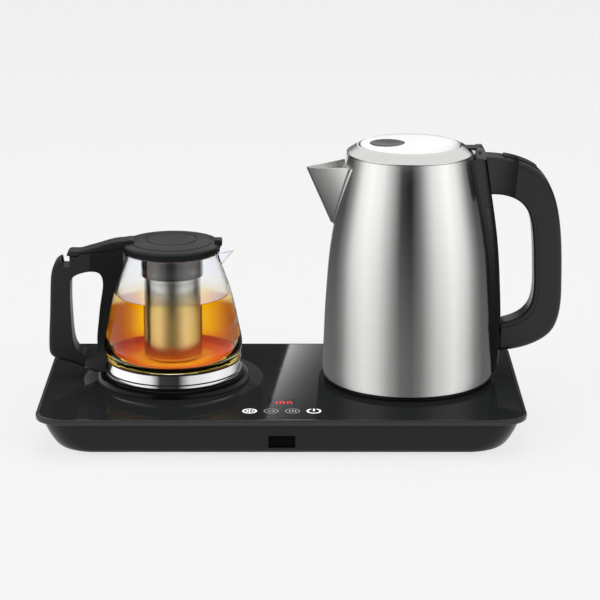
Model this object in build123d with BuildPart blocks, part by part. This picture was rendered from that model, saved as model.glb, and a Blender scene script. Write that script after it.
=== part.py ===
"""Automatic tea maker: a glass-topped tray with a lift-off kettle and a lift-off teapot.

Millimetres. X runs to the right, Y to the back, Z up. The origin is the middle of the tray on the table.
Heights called h are measured from the top of the tray's glass.
"""

import math
import os

from build123d import *

# ---------------------------------------------------------------- driving dimensions
# gaps
GAP_BODY = 0.3  # between bodies that move apart
GAP_FIT = 0.2  # round a part that is dropped into a hole in its own body
RUN = 0.05  # radial clearance of a shaft in its bore

# tray
TRAY_W = 420.0
TRAY_D = 224.0
TRAY_R = 24.0
TRAY_TOP = 35.0
FRAME_H = 4.8
FRAME_RIM = 3.3
GLASS_T = 3.0
FOOT_H = 3.0
FOOT_R = 8.0
FOOT_SEAT = 1.0
WALL = 2.5
FRAME_LOW = TRAY_TOP - FRAME_H
GLASS_LOW = TRAY_TOP - GLASS_T
HULL_R = 30.0
HULL = ((3.0, 20.0, 10.5), (5.0, 17.0, 8.2), (9.0, 14.0, 6.4), (16.0, 10.0, 5.0), (23.0, 6.8, 4.2),
        (FRAME_LOW, 4.6, 3.8))  # height, inset at the sides, inset at the front and back
HULL_Z = [row[0] for row in HULL]
HOUSING_LOW = HULL[0][0]
FLOOR = HOUSING_LOW + WALL
FOOT_IN = (52.0, 40.0)  # centre of a foot from the tray's side and from its front or back
FOOT_XY = [(0, 0)] + [
    (x * (TRAY_W / 2 - FOOT_IN[0]), y * (TRAY_D / 2 - FOOT_IN[1])) for x in (-1, 1) for y in (-1, 1)
]
SCREW_IN = (58.0, 28.0)  # centre of a corner screw, likewise
MID_SCREWS = ((0, 1, 24.0), (-62.0, -1, 23.0), (62.0, -1, 23.0))  # x, side, distance from that edge
SCREW_XY = [
    (x * (TRAY_W / 2 - SCREW_IN[0]), y * (TRAY_D / 2 - SCREW_IN[1])) for x in (-1, 1) for y in (-1, 1)
] + [(x, side * (TRAY_D / 2 - edge)) for x, side, edge in MID_SCREWS]
POST_R = 4.2
POST_H = 9.0
SCREW_R = 1.5
SCREW_L = 18.0
HEAD_R = 3.0
HEAD_H = 2.4
HEAD_SUNK = 3.4
VENT = (3.0, 34.0, 9.0)  # slot width, slot length, pitch

# front window
WIN_X = 0.6
WIN_W = 23.0
WIN_H = 11.6
WIN_Z = 13.9
WIN_RIM = 1.3
WIN_SUNK = 2.0
WIN_T = 5.5

# touch field
ICON_X = (-27.1, -8.7, 9.6, 27.9)
ICON_Y = 25.2 - TRAY_D / 2
ICON_R = 6.3
ICON_DEEP = 0.4
WAVE = ((-0.9, -3.2), (0.2, -1.1), (-0.9, 1.1), (0.2, 3.2), (1.1, 3.2), (0.0, 1.1), (1.1, -1.1), (0.0, -3.2))
DISPLAY_X = 0.5
DISPLAY_Y = ICON_Y + 26.3
DISPLAY_W = 23.0
DISPLAY_D = 14.4
DIGIT_W = 4.4
DIGIT_D = 8.4
DIGIT_PITCH = 6.4
SEGMENT = 1.0
HALF_W = (DIGIT_W - SEGMENT) / 2
HALF_D = (DIGIT_D - SEGMENT) / 4
LEFT_BARS = ((-HALF_W, HALF_D), (-HALF_W, -HALF_D))
RIGHT_BARS = ((HALF_W, HALF_D), (HALF_W, -HALF_D))
FLAT_BARS = ((0, 2 * HALF_D), (0, -2 * HALF_D))
BOARD_W = 92.0
BOARD_D = 50.0
BOARD_Y = ICON_Y + 12.8
BOARD_TOP = FRAME_LOW - 8.2
BOARD_T = 1.6

# power board
POWER_X = 26.0
POWER_Y = TRAY_D / 2 - 66.0
POWER_W = 84.0
POWER_D = 64.0
POWER_Z = 11.0
POWER_TOP = POWER_Z + BOARD_T

# cord outlet
GLAND_X = 60.0
GLAND_Z = 15.0
GLAND_FACE = TRAY_D / 2 - 10.5
GLAND_R = 8.4
GLAND_IN = 10.0
GLAND_OUT = 2.5
GLAND_BODY_R = 6.0
GLAND_BORE = 3.6

# kettle, radii and heights on its own axis
KX = TRAY_W / 2 - 98.0
KY = 11.0
SHELL_T = 1.0
KETTLE_OUTER = ((74.9, 4.5), (75.7, 10.0), (75.3, 29.0), (74.1, 58.0), (72.5, 86.0),
                (70.5, 114.0), (67.1, 140.0), (61.9, 170.0), (56.3, 202.0), (55.9, 204.5))
TOP_R, TOP_H = KETTLE_OUTER[-1]
POST_TOP = 14.0
PLUG_R = 20.0
PLUG_GAP = 0.6
PLUG_SLOT = (9.0, 12.0)
PLUG_HOLE = 3.8
PIN_R = 3.0
RING_IN = 9.7
RING_OUT = 11.3
COVER_FOOT = 0.3
SOCKET_CEIL = 16.0
PLATE_H = 20.0
SPREADER_T = 1.6
ELEMENT_R = 44.0
ELEMENT_WIRE = 4.0
ELEMENT_H = PLATE_H - SPREADER_T - ELEMENT_WIRE
STUD_RING = 62.0
STUD_LOW = 6.2
LID_R = 44.7
RING_BORE = 45.3
LEDGE_R = 41.8
LEDGE_H = TOP_H + 3.3
LINER_R = 40.3
LID_LOW = LEDGE_H + 2.4
PAD_R = 15.0
PAD_X = -20.0
DISH_R = 62.0
HINGE_X = 60.0
HINGE_H = TOP_H + 2.0
KNUCKLE_R = 3.4
KNUCKLE_HALF = 7.0
PIN_HINGE_R = 1.5
BRACKET_HALF = 11.0
HANDLE_HALF = 12.5
COVER_HALF = 11.6
COVER_ROUND = 2.6
SPINE_HALF = 13.0
SPINE_TOP = TOP_H - 4.0
SPINE_OUTER = ((66.2, SPINE_TOP), (71.2, 169.2), (77.0, 130.0), (80.2, 89.0), (81.6, 52.6), (80.9, 26.8),
               (79.6, 14.0))
GRIP_OUTER = ((65.8, 203.2), (80.0, 202.0), (96.0, 198.2), (112.0, 189.8), (123.0, 175.0), (130.2, 152.0),
              (133.6, 122.0), (134.6, 90.0), (133.2, 62.0), (126.5, 45.0), (113.0, 34.8), (96.0, 29.0),
              (80.9, 26.8))
GRIP_INNER = ((71.2, 169.2), (79.0, 168.9), (88.0, 166.8), (97.0, 161.8), (103.6, 153.0), (107.6, 137.0),
              (109.2, 117.0), (109.9, 98.0), (109.6, 79.0), (106.0, 66.8), (98.5, 58.9), (90.0, 54.9),
              (81.6, 52.6))
SEAM_AT = 0.82
GAUGE = (50.5, 158.0)
GAUGE_T = 2.4
GAUGE_BASE = 3.2
BUTTON_X = (81.5, 110.6)
BUTTON_HALF = 6.6
BUTTON_UP = 1.8
BUTTON_BOTTOM = 186.5
BUTTON_TRAVEL = 2.5
POCKET_FLOOR = 181.5
POCKET_TOP = TOP_H + 10.5
STEM_R = 2.0
STEM_X = 90.0
STEM_END = 176.0
SPOUT_TOP = 190.6
SPOUT_LOW = 142.5
FILTER_H = 168.0
SPOUT_BASE = -44.0
SPOUT_TILT = 6.0  # degrees that the rim rises from the tip to the body
SPOUT_UP = (-95.6, 26.6, 4.5)  # tip before rounding, half width at the base line, tip radius
SPOUT_DOWN = (-71.2, 19.5, 3.0)
SPOUT_T = 1.2
FLANGE_W = 3.2
FLANGE_T = 0.8

# teapot, on its own axis
TX = 113.0 - TRAY_W / 2
TY = 11.0
SEAT_R = 68.0
SEAT_TOP = 6.8
PLATE_R = 50.0
POT_GLASS_T = 2.0
RIM_H = 116.0
POT_OUTER = ((44.0, 8.4), (53.4, 12.6), (58.9, 21.0), (61.4, 32.0), (59.6, 44.0), (54.8, RIM_H - 48.0),
             (48.5, RIM_H - 26.0), (43.0, RIM_H - 10.5), (41.5, RIM_H - 5.0), (42.3, RIM_H))
POT_FLOOR = POT_OUTER[0][1] + 8.1
POT_BOWL = ((30.0, POT_FLOOR), (42.0, POT_FLOOR + 1.5), (50.5, POT_FLOOR + 5.3), (56.0, POT_FLOOR + 11.5),
            (58.2, POT_FLOOR + 18.5))
LIP_LOW = RIM_H - 13.0
BAND_R = 60.8
BAND_LOW = 7.1
BAND_TOP = 20.2
NECK_RING = (39.2, 43.4, RIM_H + 1.2, RIM_H + 4.0)
POT_LID_LOW = NECK_RING[3] + GAP_BODY
POT_LID_R = 43.4
POT_LID_FORM = ((0, 7.6), (12, 7.5), (21.9, 6.8), (22.0, 6.2), (22.8, 6.1), (22.9, 6.7), (30, 5.8),
                (35.6, 4.9), (35.7, 4.3), (36.5, 4.2), (36.6, 4.7), (41.6, 3.5), (42.8, 2.8),
                (POT_LID_R, 1.9))
POT_PIVOT_X = -86.0
PIVOT_DROP = 6.5
POT_PIVOT_H = RIM_H - PIVOT_DROP
POT_EAR_R = 3.4
POT_KNUCKLE_R = 4.0
POT_KNUCKLE_HALF = 6.3
POT_HANDLE_HALF = 10.5
POT_ARM_HALF = 8.5
POT_HANDLE_OUTER = ((-43.4, RIM_H + 4.0), (-50.0, RIM_H + 2.5), (-58.0, RIM_H + 1.3), (-70.0, RIM_H + 0.2),
                    (-79.5, POT_PIVOT_H + 5.7), (-82.6, POT_PIVOT_H + 3.4), (-89.6, POT_PIVOT_H),
                    (-89.6, POT_PIVOT_H - 5.7), (-96.0, POT_PIVOT_H - 5.7), (-97.2, POT_PIVOT_H + 1.3))
POT_HANDLE_BACK = (POT_HANDLE_OUTER[-1], (-101.6, POT_PIVOT_H - 1.3), (-105.4, POT_PIVOT_H - 8.9),
                   (-107.3, 85.0), (-108.8, 54.0), (-109.9, 30.0), (-108.6, 23.0), (-103.6, 19.2),
                   (-92.8, 15.9), (-82.0, 12.0), (-71.5, BAND_LOW))
POT_HOLE = ((-89.3, 89.0), (-86.8, 94.6), (-80.0, 98.0), (-70.0, 99.6), (-63.4, 97.6), (-60.8, 91.0),
            (-61.6, 80.0), (-63.6, 68.0), (-65.4, 52.8), (-66.8, 34.0), (-68.2, 24.6), (-73.6, 22.6),
            (-80.8, 23.8), (-86.0, 29.6), (-88.6, 41.0), (-89.6, 60.0))
INFUSER_R = 24.9
INFUSER_T = 0.6
INFUSER_LOW = POT_FLOOR + 2.0
INFUSER_TOP = RIM_H - 21.0
INFUSER_BAND_R = 27.8
FLANGE_H = RIM_H + 0.1
ARM_TOP = ((-92.1, POT_PIVOT_H + 5.1), (-91.0, POT_PIVOT_H + 6.8), (-82.4, POT_PIVOT_H + 7.8),
           (-74.4, RIM_H + 3.1), (-65.4, RIM_H + 5.6), (-56.3, RIM_H + 8.4), (-48.3, RIM_H + 10.3),
           (-39.2, RIM_H + 11.3), (-34.0, RIM_H + 11.5), (-32.2, RIM_H + 10.2))
ARM_LOW = ((-32.2, RIM_H + 7.6), (-40.0, RIM_H + 5.8), (-43.6, POT_LID_LOW), (-50.0, RIM_H + 2.9),
           (-58.0, RIM_H + 1.7), (-70.0, RIM_H + 0.6), (-79.7, POT_PIVOT_H + 6.2),
           (-82.6, POT_PIVOT_H + POT_EAR_R + 0.4), (-92.1, POT_PIVOT_H + POT_EAR_R + 0.4))


# ---------------------------------------------------------------- helpers
def hull_inset(z):
    """Side and front inset of the tray's hull at height z, between the listed sections."""
    for low, high in zip(HULL, HULL[1:]):
        if z <= high[0]:
            t = (z - low[0]) / (high[0] - low[0])
            return low[1] + t * (high[1] - low[1]), low[2] + t * (high[2] - low[2])
    return HULL[-1][1], HULL[-1][2]


def hull(inward, heights):
    """Smooth hull through the listed heights, moved inward from the outer skin."""
    with BuildPart() as body:
        for z in heights:
            side, front = hull_inset(z)
            with BuildSketch(Plane.XY.offset(z)):
                RectangleRounded(
                    TRAY_W - 2 * (side + inward), TRAY_D - 2 * (front + inward), HULL_R - inward
                )
        loft()
    return body.part


def slab(width, depth, radius, low, high):
    """Flat plate with rounded corners between two heights."""
    with BuildPart() as body:
        with BuildSketch(Plane.XY.offset(low)):
            RectangleRounded(width, depth, radius)
        extrude(amount=high - low)
    return body.part


def side_plane(x, y, back=0):
    """Upright plane at an axis at x, y, moved back: its first coordinate is radius along X, its second h."""
    return Plane(origin=(x, y + back, TRAY_TOP), x_dir=(1, 0, 0), z_dir=(0, -1, 0))


def gland_plane(back):
    """Upright plane square to the cord outlet, at a distance behind its outer face."""
    return Plane(origin=(GLAND_X, GLAND_FACE + back, GLAND_Z), x_dir=(1, 0, 0), z_dir=(0, 1, 0))


def level(x, y, h):
    """Flat plane at height h with its origin on an axis at x, y."""
    return Plane(origin=(x, y, TRAY_TOP + h))


def turned(x, y, points):
    """Solid of revolution of a straight-sided profile of (radius, h)."""
    with BuildPart() as body:
        with BuildSketch(side_plane(x, y)):
            with BuildLine():
                Polyline(*points, close=True)
            make_face()
        revolve(axis=Axis((x, y, 0), (0, 0, 1)))
    return body.part


def pushed(points, distance):
    """Profile points moved along their own normal, to the left of the direction of travel if positive."""
    moved = []
    for i, (r, h) in enumerate(points):
        before = points[max(i - 1, 0)]
        after = points[min(i + 1, len(points) - 1)]
        along = math.hypot(after[0] - before[0], after[1] - before[1])
        nr = -(after[1] - before[1]) / along
        nh = (after[0] - before[0]) / along
        moved.append((r + distance * nr, h + distance * nh))
    return moved


def kettle_core(outward):
    """The kettle's full outer form, grown or shrunk sideways."""
    points = [(r + outward, h) for r, h in KETTLE_OUTER]
    with BuildPart() as body:
        with BuildSketch(side_plane(KX, KY)):
            with BuildLine():
                Spline(*points)
                Polyline(points[-1], (0, points[-1][1]), (0, points[0][1]), points[0])
            make_face()
        revolve(axis=Axis((KX, KY, 0), (0, 0, 1)))
    return body.part


def spout_plane(tip, h, tilt):
    """Plane through the spout's tip at height h that rises towards the kettle by the tilt, in degrees."""
    rise = math.radians(tilt)
    return Plane(
        origin=(KX + tip, KY, TRAY_TOP + h),
        x_dir=(math.cos(rise), 0, math.sin(rise)),
        z_dir=(-math.sin(rise), 0, math.cos(rise)),
    )


def beak(inward):
    """Solid of the kettle's spout, thinned by the given amount."""
    with BuildPart() as body:
        for h, tilt, (tip, half, radius) in ((SPOUT_LOW, 0, SPOUT_DOWN), (SPOUT_TOP, SPOUT_TILT, SPOUT_UP)):
            with BuildSketch(spout_plane(tip, h, tilt)) as section:
                with BuildLine():
                    Polyline((SPOUT_BASE - tip, half), (0, 0), (SPOUT_BASE - tip, -half), close=True)
                make_face()
                fillet(section.vertices().sort_by(Axis.X)[0], radius)
                if inward:
                    offset(amount=-inward, mode=Mode.REPLACE)
        loft()
    return body.part


def side_form(x, y, curve, closing, half):
    """Plate between a smooth curve and straight closing lines, upright on an axis at x, y."""
    with BuildPart() as body:
        with BuildSketch(side_plane(x, y, half)):
            with BuildLine():
                Spline(*curve)
                Polyline(curve[-1], *closing, curve[0])
            make_face()
        extrude(amount=2 * half)
    return body.part


def between(share):
    """Curve that lies between the handle's outer and inner outlines."""
    return [
        (a[0] + share * (b[0] - a[0]), a[1] + share * (b[1] - a[1]))
        for a, b in zip(GRIP_OUTER, GRIP_INNER)
    ]


def grip(first, second, half):
    """Plate of the kettle's handle between two of its curves."""
    with BuildPart() as body:
        with BuildSketch(side_plane(KX, KY, half)):
            with BuildLine():
                Spline(*first)
                Line(first[-1], second[-1])
                Spline(*second)
                Line(second[0], first[0])
            make_face()
        extrude(amount=2 * half)
    return body.part


def spine(half, back):
    """Spine of the kettle's handle before it is fitted to the body."""
    curve = [(r - back, h) for r, h in SPINE_OUTER]
    closing = [(76.0 - back, 7.4), (72.0, 7.0), (48.0, 7.0), (48.0, SPINE_TOP)]
    return side_form(KX, KY, curve, closing, half)


def coil(x, y, low, high, radius, wire, turns):
    """Compression spring standing on a height."""
    with BuildPart() as body:
        with BuildLine() as path:
            Helix((high - low - 2 * wire) / turns, high - low - 2 * wire, radius, center=(x, y, low + wire))
        with BuildSketch(Plane(origin=path.line @ 0, z_dir=path.line % 0)):
            Circle(wire)
        sweep()
    return body.part


def finish(part, label):
    """Name a sub-part and write its file."""
    part.label = label
    export_step(part, f"parts/{label}.step")


os.makedirs("parts", exist_ok=True)

# ================================================================ tray
with BuildPart() as base_lower_housing:
    add(hull(0, HULL_Z))
    add(hull(WALL, (FLOOR, *HULL_Z[2:])), mode=Mode.SUBTRACT)
    with Locations(*[(x, y, HOUSING_LOW) for x, y in SCREW_XY]):
        Cylinder(POST_R, POST_H, align=(Align.CENTER, Align.CENTER, Align.MIN))
        Cylinder(SCREW_R + 0.25, POST_H, align=(Align.CENTER, Align.CENTER, Align.MIN), mode=Mode.SUBTRACT)
        Cylinder(HEAD_R + 0.4, HEAD_SUNK, align=(Align.CENTER, Align.CENTER, Align.MIN), mode=Mode.SUBTRACT)
    with Locations(*[(x, y, HOUSING_LOW) for x, y in FOOT_XY]):
        Cylinder(FOOT_R + 0.3, FOOT_SEAT, align=(Align.CENTER, Align.CENTER, Align.MIN), mode=Mode.SUBTRACT)
    with Locations((POWER_X, POWER_Y, FLOOR)):
        with GridLocations(POWER_W - 10, POWER_D - 10, 2, 2):
            Cylinder(3.0, POWER_Z - FLOOR, align=(Align.CENTER, Align.CENTER, Align.MIN))
    with Locations((WIN_X, -TRAY_D / 2 + 10, WIN_Z)):
        Box(WIN_W, 30, WIN_H, mode=Mode.SUBTRACT)
    with Locations((GLAND_X, GLAND_FACE - 3, GLAND_Z)):
        Box(26, 6, 2 * (GLAND_Z - FLOOR), align=(Align.CENTER, Align.CENTER, Align.CENTER))
    with BuildSketch(gland_plane(-6)):
        Circle(GLAND_BODY_R + GAP_FIT)
    extrude(amount=30, mode=Mode.SUBTRACT)
    with BuildSketch(gland_plane(0)):
        Circle(GLAND_R + GAP_FIT)
    extrude(amount=30, mode=Mode.SUBTRACT)
    with Locations((TX - 3, TY + 19, HOUSING_LOW)):
        with GridLocations(VENT[2], 0, 7, 1):
            Box(VENT[0], VENT[1], WALL, align=(Align.CENTER, Align.CENTER, Align.MIN), mode=Mode.SUBTRACT)
finish(base_lower_housing.part, "base_lower_housing")

with BuildPart() as base_top_frame:
    add(slab(TRAY_W, TRAY_D, TRAY_R, FRAME_LOW, TRAY_TOP))
    fillet(base_top_frame.faces().sort_by(Axis.Z)[-1].edges(), 1.6)
    fillet(base_top_frame.faces().sort_by(Axis.Z)[0].edges(), 0.8)
    add(
        slab(TRAY_W - 2 * FRAME_RIM, TRAY_D - 2 * FRAME_RIM, TRAY_R - FRAME_RIM, GLASS_LOW, TRAY_TOP),
        mode=Mode.SUBTRACT,
    )
    add(slab(TRAY_W - 18, TRAY_D - 17, HULL_R - 6, FRAME_LOW - 2.6, FRAME_LOW))
    add(slab(TRAY_W - 22, TRAY_D - 21, HULL_R - 8, FRAME_LOW - 2.6, FRAME_LOW), mode=Mode.SUBTRACT)
    with Locations(*[(x, y, HOUSING_LOW + POST_H) for x, y in SCREW_XY]):
        Cylinder(
            POST_R - 0.4, FRAME_LOW - HOUSING_LOW - POST_H, align=(Align.CENTER, Align.CENTER, Align.MIN)
        )
        Cylinder(SCREW_R + 0.1, 14, align=(Align.CENTER, Align.CENTER, Align.MIN), mode=Mode.SUBTRACT)
    with Locations((0, BOARD_Y, BOARD_TOP)):
        with GridLocations(BOARD_W - 8, BOARD_D - 8, 2, 2):
            Cylinder(2.8, FRAME_LOW - BOARD_TOP, align=(Align.CENTER, Align.CENTER, Align.MIN))
    with BuildSketch(Plane.XY.offset(FRAME_LOW)):
        with Locations((KX, KY)):
            Circle(PLUG_R + PLUG_GAP)
        with Locations((TX, TY)):
            Circle(PLATE_R + 0.6)
        with Locations((DISPLAY_X, DISPLAY_Y)):
            Rectangle(DISPLAY_W + 1, DISPLAY_D + 1)
        with Locations(*[(x, ICON_Y) for x in ICON_X]):
            Circle(4.6)
    extrude(amount=FRAME_H, mode=Mode.SUBTRACT)
finish(base_top_frame.part, "base_top_frame")


def icon_rings(picked, thickness):
    """Outline rings of the touch icons, as a sketch set on the glass."""
    for x in picked:
        with Locations((x, ICON_Y)):
            Circle(ICON_R)
            Circle(ICON_R - thickness, mode=Mode.SUBTRACT)


def arrow(x, way, length, half):
    """Arrow head and stem inside an icon."""
    Polygon(
        (x + way * length, ICON_Y),
        (x + way * (length - half), ICON_Y + half),
        (x + way * (length - half), ICON_Y - half),
        align=None,
    )
    with Locations((x + way * (length - half) / 2, ICON_Y)):
        Rectangle(length - half, half * 0.7)


with BuildPart() as touch_icons_lit:
    with BuildSketch(Plane.XY.offset(TRAY_TOP - ICON_DEEP)):
        icon_rings((ICON_X[0],), 1.5)
        arrow(ICON_X[0] - 0.6, -1, 3.2, 2.4)
        with Locations((ICON_X[0], ICON_Y)):
            Rectangle(0.9, 2 * ICON_R - 1)
        with Locations((ICON_X[0] + 2.4, ICON_Y)):
            Rectangle(2.6, 1.1)
            Rectangle(1.1, 2.6)
    extrude(amount=ICON_DEEP)
    with BuildSketch(Plane.XY.offset(TRAY_TOP - ICON_DEEP)):
        icon_rings((ICON_X[3],), 1.5)
        with Locations((ICON_X[3], ICON_Y + ICON_R)):
            Rectangle(4.4, 5.4, mode=Mode.SUBTRACT)
        with Locations((ICON_X[3], ICON_Y + 2.8)):
            Rectangle(1.5, 6.6)
    extrude(amount=ICON_DEEP)
finish(touch_icons_lit.part, "touch_icons_lit")

with BuildPart() as touch_icons_dim:
    with BuildSketch(Plane.XY.offset(TRAY_TOP - ICON_DEEP)):
        icon_rings(ICON_X[1:3], 0.7)
        arrow(ICON_X[1] + 0.2, 1, 3.6, 2.0)
        with Locations((ICON_X[1] - 1.8, ICON_Y)):
            Rectangle(3.4, 1.1)
        for step in (-2.4, 0, 2.4):
            Polygon(*[(ICON_X[2] + step + x, ICON_Y + y) for x, y in WAVE], align=None)
    extrude(amount=ICON_DEEP)
finish(touch_icons_dim.part, "touch_icons_dim")

with BuildPart() as glass_top_panel:
    add(
        slab(
            TRAY_W - 2 * (FRAME_RIM + GAP_FIT),
            TRAY_D - 2 * (FRAME_RIM + GAP_FIT),
            TRAY_R - FRAME_RIM - GAP_FIT,
            GLASS_LOW,
            TRAY_TOP,
        )
    )
    chamfer(glass_top_panel.faces().sort_by(Axis.Z)[-1].edges(), 0.4)
    with BuildSketch(Plane.XY.offset(GLASS_LOW)):
        with Locations((KX, KY)):
            Circle(PLUG_R + PLUG_GAP)
        with Locations((TX, TY)):
            Circle(PLATE_R + 0.6)
        with Locations((DISPLAY_X, DISPLAY_Y)):
            Rectangle(DISPLAY_W, DISPLAY_D)
    extrude(amount=GLASS_T, mode=Mode.SUBTRACT)
    add(touch_icons_lit.part, mode=Mode.SUBTRACT)
    add(touch_icons_dim.part, mode=Mode.SUBTRACT)
finish(glass_top_panel.part, "glass_top_panel")

with BuildPart() as front_window:
    add(hull(0, HULL_Z))
    with Locations((WIN_X, WIN_SUNK + WIN_T - TRAY_D / 2 + hull_inset(WIN_Z)[1], WIN_Z)):
        Box(
            WIN_W - 2 * GAP_FIT, TRAY_D, WIN_H - 2 * GAP_FIT,
            align=(Align.CENTER, Align.MAX, Align.CENTER), mode=Mode.INTERSECT,
        )
    with Locations((WIN_X, WIN_SUNK - TRAY_D / 2 + hull_inset(WIN_Z)[1], WIN_Z)):
        Box(
            WIN_W - 2 * WIN_RIM, TRAY_D, WIN_H - 2 * WIN_RIM,
            align=(Align.CENTER, Align.MAX, Align.CENTER), mode=Mode.SUBTRACT,
        )
finish(front_window.part, "front_window")

with BuildPart() as rubber_feet:
    with Locations(*[(x, y, 0) for x, y in FOOT_XY]):
        Cylinder(FOOT_R, FOOT_H + FOOT_SEAT, align=(Align.CENTER, Align.CENTER, Align.MIN))
    fillet(rubber_feet.faces().filter_by(Axis.Z).group_by(Axis.Z)[0].edges(), 0.8)
finish(rubber_feet.part, "rubber_feet")

with BuildPart() as housing_screws:
    with Locations(*[(x, y, HOUSING_LOW + HEAD_SUNK - HEAD_H) for x, y in SCREW_XY]):
        Cylinder(HEAD_R, HEAD_H, align=(Align.CENTER, Align.CENTER, Align.MIN))
        Cylinder(SCREW_R, SCREW_L, align=(Align.CENTER, Align.CENTER, Align.MIN))
        Box(3.6, 0.8, 0.8, align=(Align.CENTER, Align.CENTER, Align.MIN), mode=Mode.SUBTRACT)
        Box(0.8, 3.6, 0.8, align=(Align.CENTER, Align.CENTER, Align.MIN), mode=Mode.SUBTRACT)
finish(housing_screws.part, "housing_screws")

with BuildPart() as control_board:
    with Locations((0, BOARD_Y, BOARD_TOP - BOARD_T)):
        Box(BOARD_W, BOARD_D, BOARD_T, align=(Align.CENTER, Align.CENTER, Align.MIN))
    with Locations((-30, BOARD_Y + 12, BOARD_TOP), (32, BOARD_Y + 11, BOARD_TOP)):
        Box(12, 12, 1.8, align=(Align.CENTER, Align.CENTER, Align.MIN))
finish(control_board.part, "control_board")

with BuildPart() as display_module:
    with Locations((DISPLAY_X, DISPLAY_Y, BOARD_TOP)):
        Box(
            DISPLAY_W - 0.6, DISPLAY_D - 0.6, GLASS_LOW - 0.3 - BOARD_TOP,
            align=(Align.CENTER, Align.CENTER, Align.MIN),
        )
finish(display_module.part, "display_module")

with BuildPart() as display_digits:
    with BuildSketch(Plane.XY.offset(GLASS_LOW - 0.3)):
        for place, upright, flat in (
            (-1, RIGHT_BARS, ()),
            (0, LEFT_BARS + RIGHT_BARS, FLAT_BARS),
            (1, LEFT_BARS + RIGHT_BARS, FLAT_BARS),
        ):
            for x, y in upright:
                with Locations((DISPLAY_X + place * DIGIT_PITCH + x, DISPLAY_Y + y)):
                    Rectangle(SEGMENT, 2 * HALF_D - SEGMENT - 0.3)
            for x, y in flat:
                with Locations((DISPLAY_X + place * DIGIT_PITCH + x, DISPLAY_Y + y)):
                    Rectangle(2 * HALF_W - SEGMENT + 0.6, SEGMENT)
    extrude(amount=0.3)
finish(display_digits.part, "display_digits")

with BuildPart() as display_lens:
    with Locations((DISPLAY_X, DISPLAY_Y, GLASS_LOW)):
        Box(
            DISPLAY_W - 0.3, DISPLAY_D - 0.3, GLASS_T,
            align=(Align.CENTER, Align.CENTER, Align.MIN),
        )
finish(display_lens.part, "display_lens")

with BuildPart() as touch_springs:
    for icon in ICON_X:
        add(coil(icon, ICON_Y, BOARD_TOP, GLASS_LOW, 3.4, 0.4, 4))
finish(touch_springs.part, "touch_springs")

with BuildPart() as power_board:
    with Locations((POWER_X, POWER_Y, POWER_Z)):
        Box(POWER_W, POWER_D, BOARD_T, align=(Align.CENTER, Align.CENTER, Align.MIN))
    with Locations((POWER_X + 30, POWER_Y + 24, POWER_Z + BOARD_T)):
        Box(18, 9, 10, align=(Align.CENTER, Align.CENTER, Align.MIN))
finish(power_board.part, "power_board")

with BuildPart() as power_relays:
    with Locations((POWER_X - 26, POWER_Y + 18, POWER_TOP), (POWER_X - 2, POWER_Y + 18, POWER_TOP)):
        Box(19, 15, 14, align=(Align.CENTER, Align.CENTER, Align.MIN))
    fillet(power_relays.edges().filter_by(Axis.Z), 0.8)
finish(power_relays.part, "power_relays")

with BuildPart() as power_transformer:
    with Locations((POWER_X - 20, POWER_Y - 14, POWER_TOP)):
        Box(28, 20, 4, align=(Align.CENTER, Align.CENTER, Align.MIN))
        Box(16, 24, 14, align=(Align.CENTER, Align.CENTER, Align.MIN))
        Box(28, 12, 12, align=(Align.CENTER, Align.CENTER, Align.MIN))
finish(power_transformer.part, "power_transformer")

with BuildPart() as power_capacitors:
    with Locations(*[(POWER_X + 14, POWER_Y + y, POWER_TOP) for y in (-22, -8, 6)]):
        Cylinder(5.0, 13, align=(Align.CENTER, Align.CENTER, Align.MIN))
    fillet(power_capacitors.faces().filter_by(Axis.Z).group_by(Axis.Z)[-1].edges(), 0.8)
finish(power_capacitors.part, "power_capacitors")

with BuildPart() as kettle_connector_post:
    add(
        turned(
            KX, KY,
            (
                (0, -13), (PLUG_R, -13), (PLUG_R, 0), (30, 0), (30, 0.8), (28.6, 1.8), (PLUG_R + 1, 1.8),
                (PLUG_R, 2.6), (PLUG_R, POST_TOP - 1), (PLUG_R - 1, POST_TOP), (PLUG_SLOT[1], POST_TOP),
                (PLUG_SLOT[1], -8), (PLUG_SLOT[0], -8), (PLUG_SLOT[0], POST_TOP), (PLUG_HOLE, POST_TOP),
                (PLUG_HOLE, -8), (0, -8),
            ),
        )
    )
finish(kettle_connector_post.part, "kettle_connector_post")

with BuildPart() as connector_contacts:
    add(turned(KX, KY, ((1.0, -8), (PLUG_HOLE - 0.2, -8), (PLUG_HOLE - 0.2, 1), (1.0, 1))))
    add(
        turned(
            KX, KY,
            (
                (PLUG_SLOT[0] + 0.2, -8), (PLUG_SLOT[1] - 0.2, -8), (PLUG_SLOT[1] - 0.2, 1),
                (PLUG_SLOT[0] + 0.2, 1),
            ),
        )
    )
finish(connector_contacts.part, "connector_contacts")

with BuildPart() as connector_nut:
    with BuildSketch(level(KX, KY, -FRAME_H - 5)):
        RegularPolygon(28, 12)
        Circle(PLUG_R + GAP_FIT, mode=Mode.SUBTRACT)
    extrude(amount=5)
finish(connector_nut.part, "connector_nut")

with BuildPart() as teapot_seat_ring:
    with BuildSketch(side_plane(TX, TY)):
        with BuildLine():
            Polyline(
                (SEAT_R, 0.8), (SEAT_R, 0), (PLATE_R + 1, 0), (PLATE_R + 1, SEAT_TOP - 0.8),
                (PLATE_R + 3, SEAT_TOP), (SEAT_R - 7, SEAT_TOP),
            )
            ThreePointArc((SEAT_R - 7, SEAT_TOP), (SEAT_R - 2, SEAT_TOP - 2.2), (SEAT_R, 0.8))
        make_face()
    revolve(axis=Axis((TX, TY, 0), (0, 0, 1)))
finish(teapot_seat_ring.part, "teapot_seat_ring")

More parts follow.
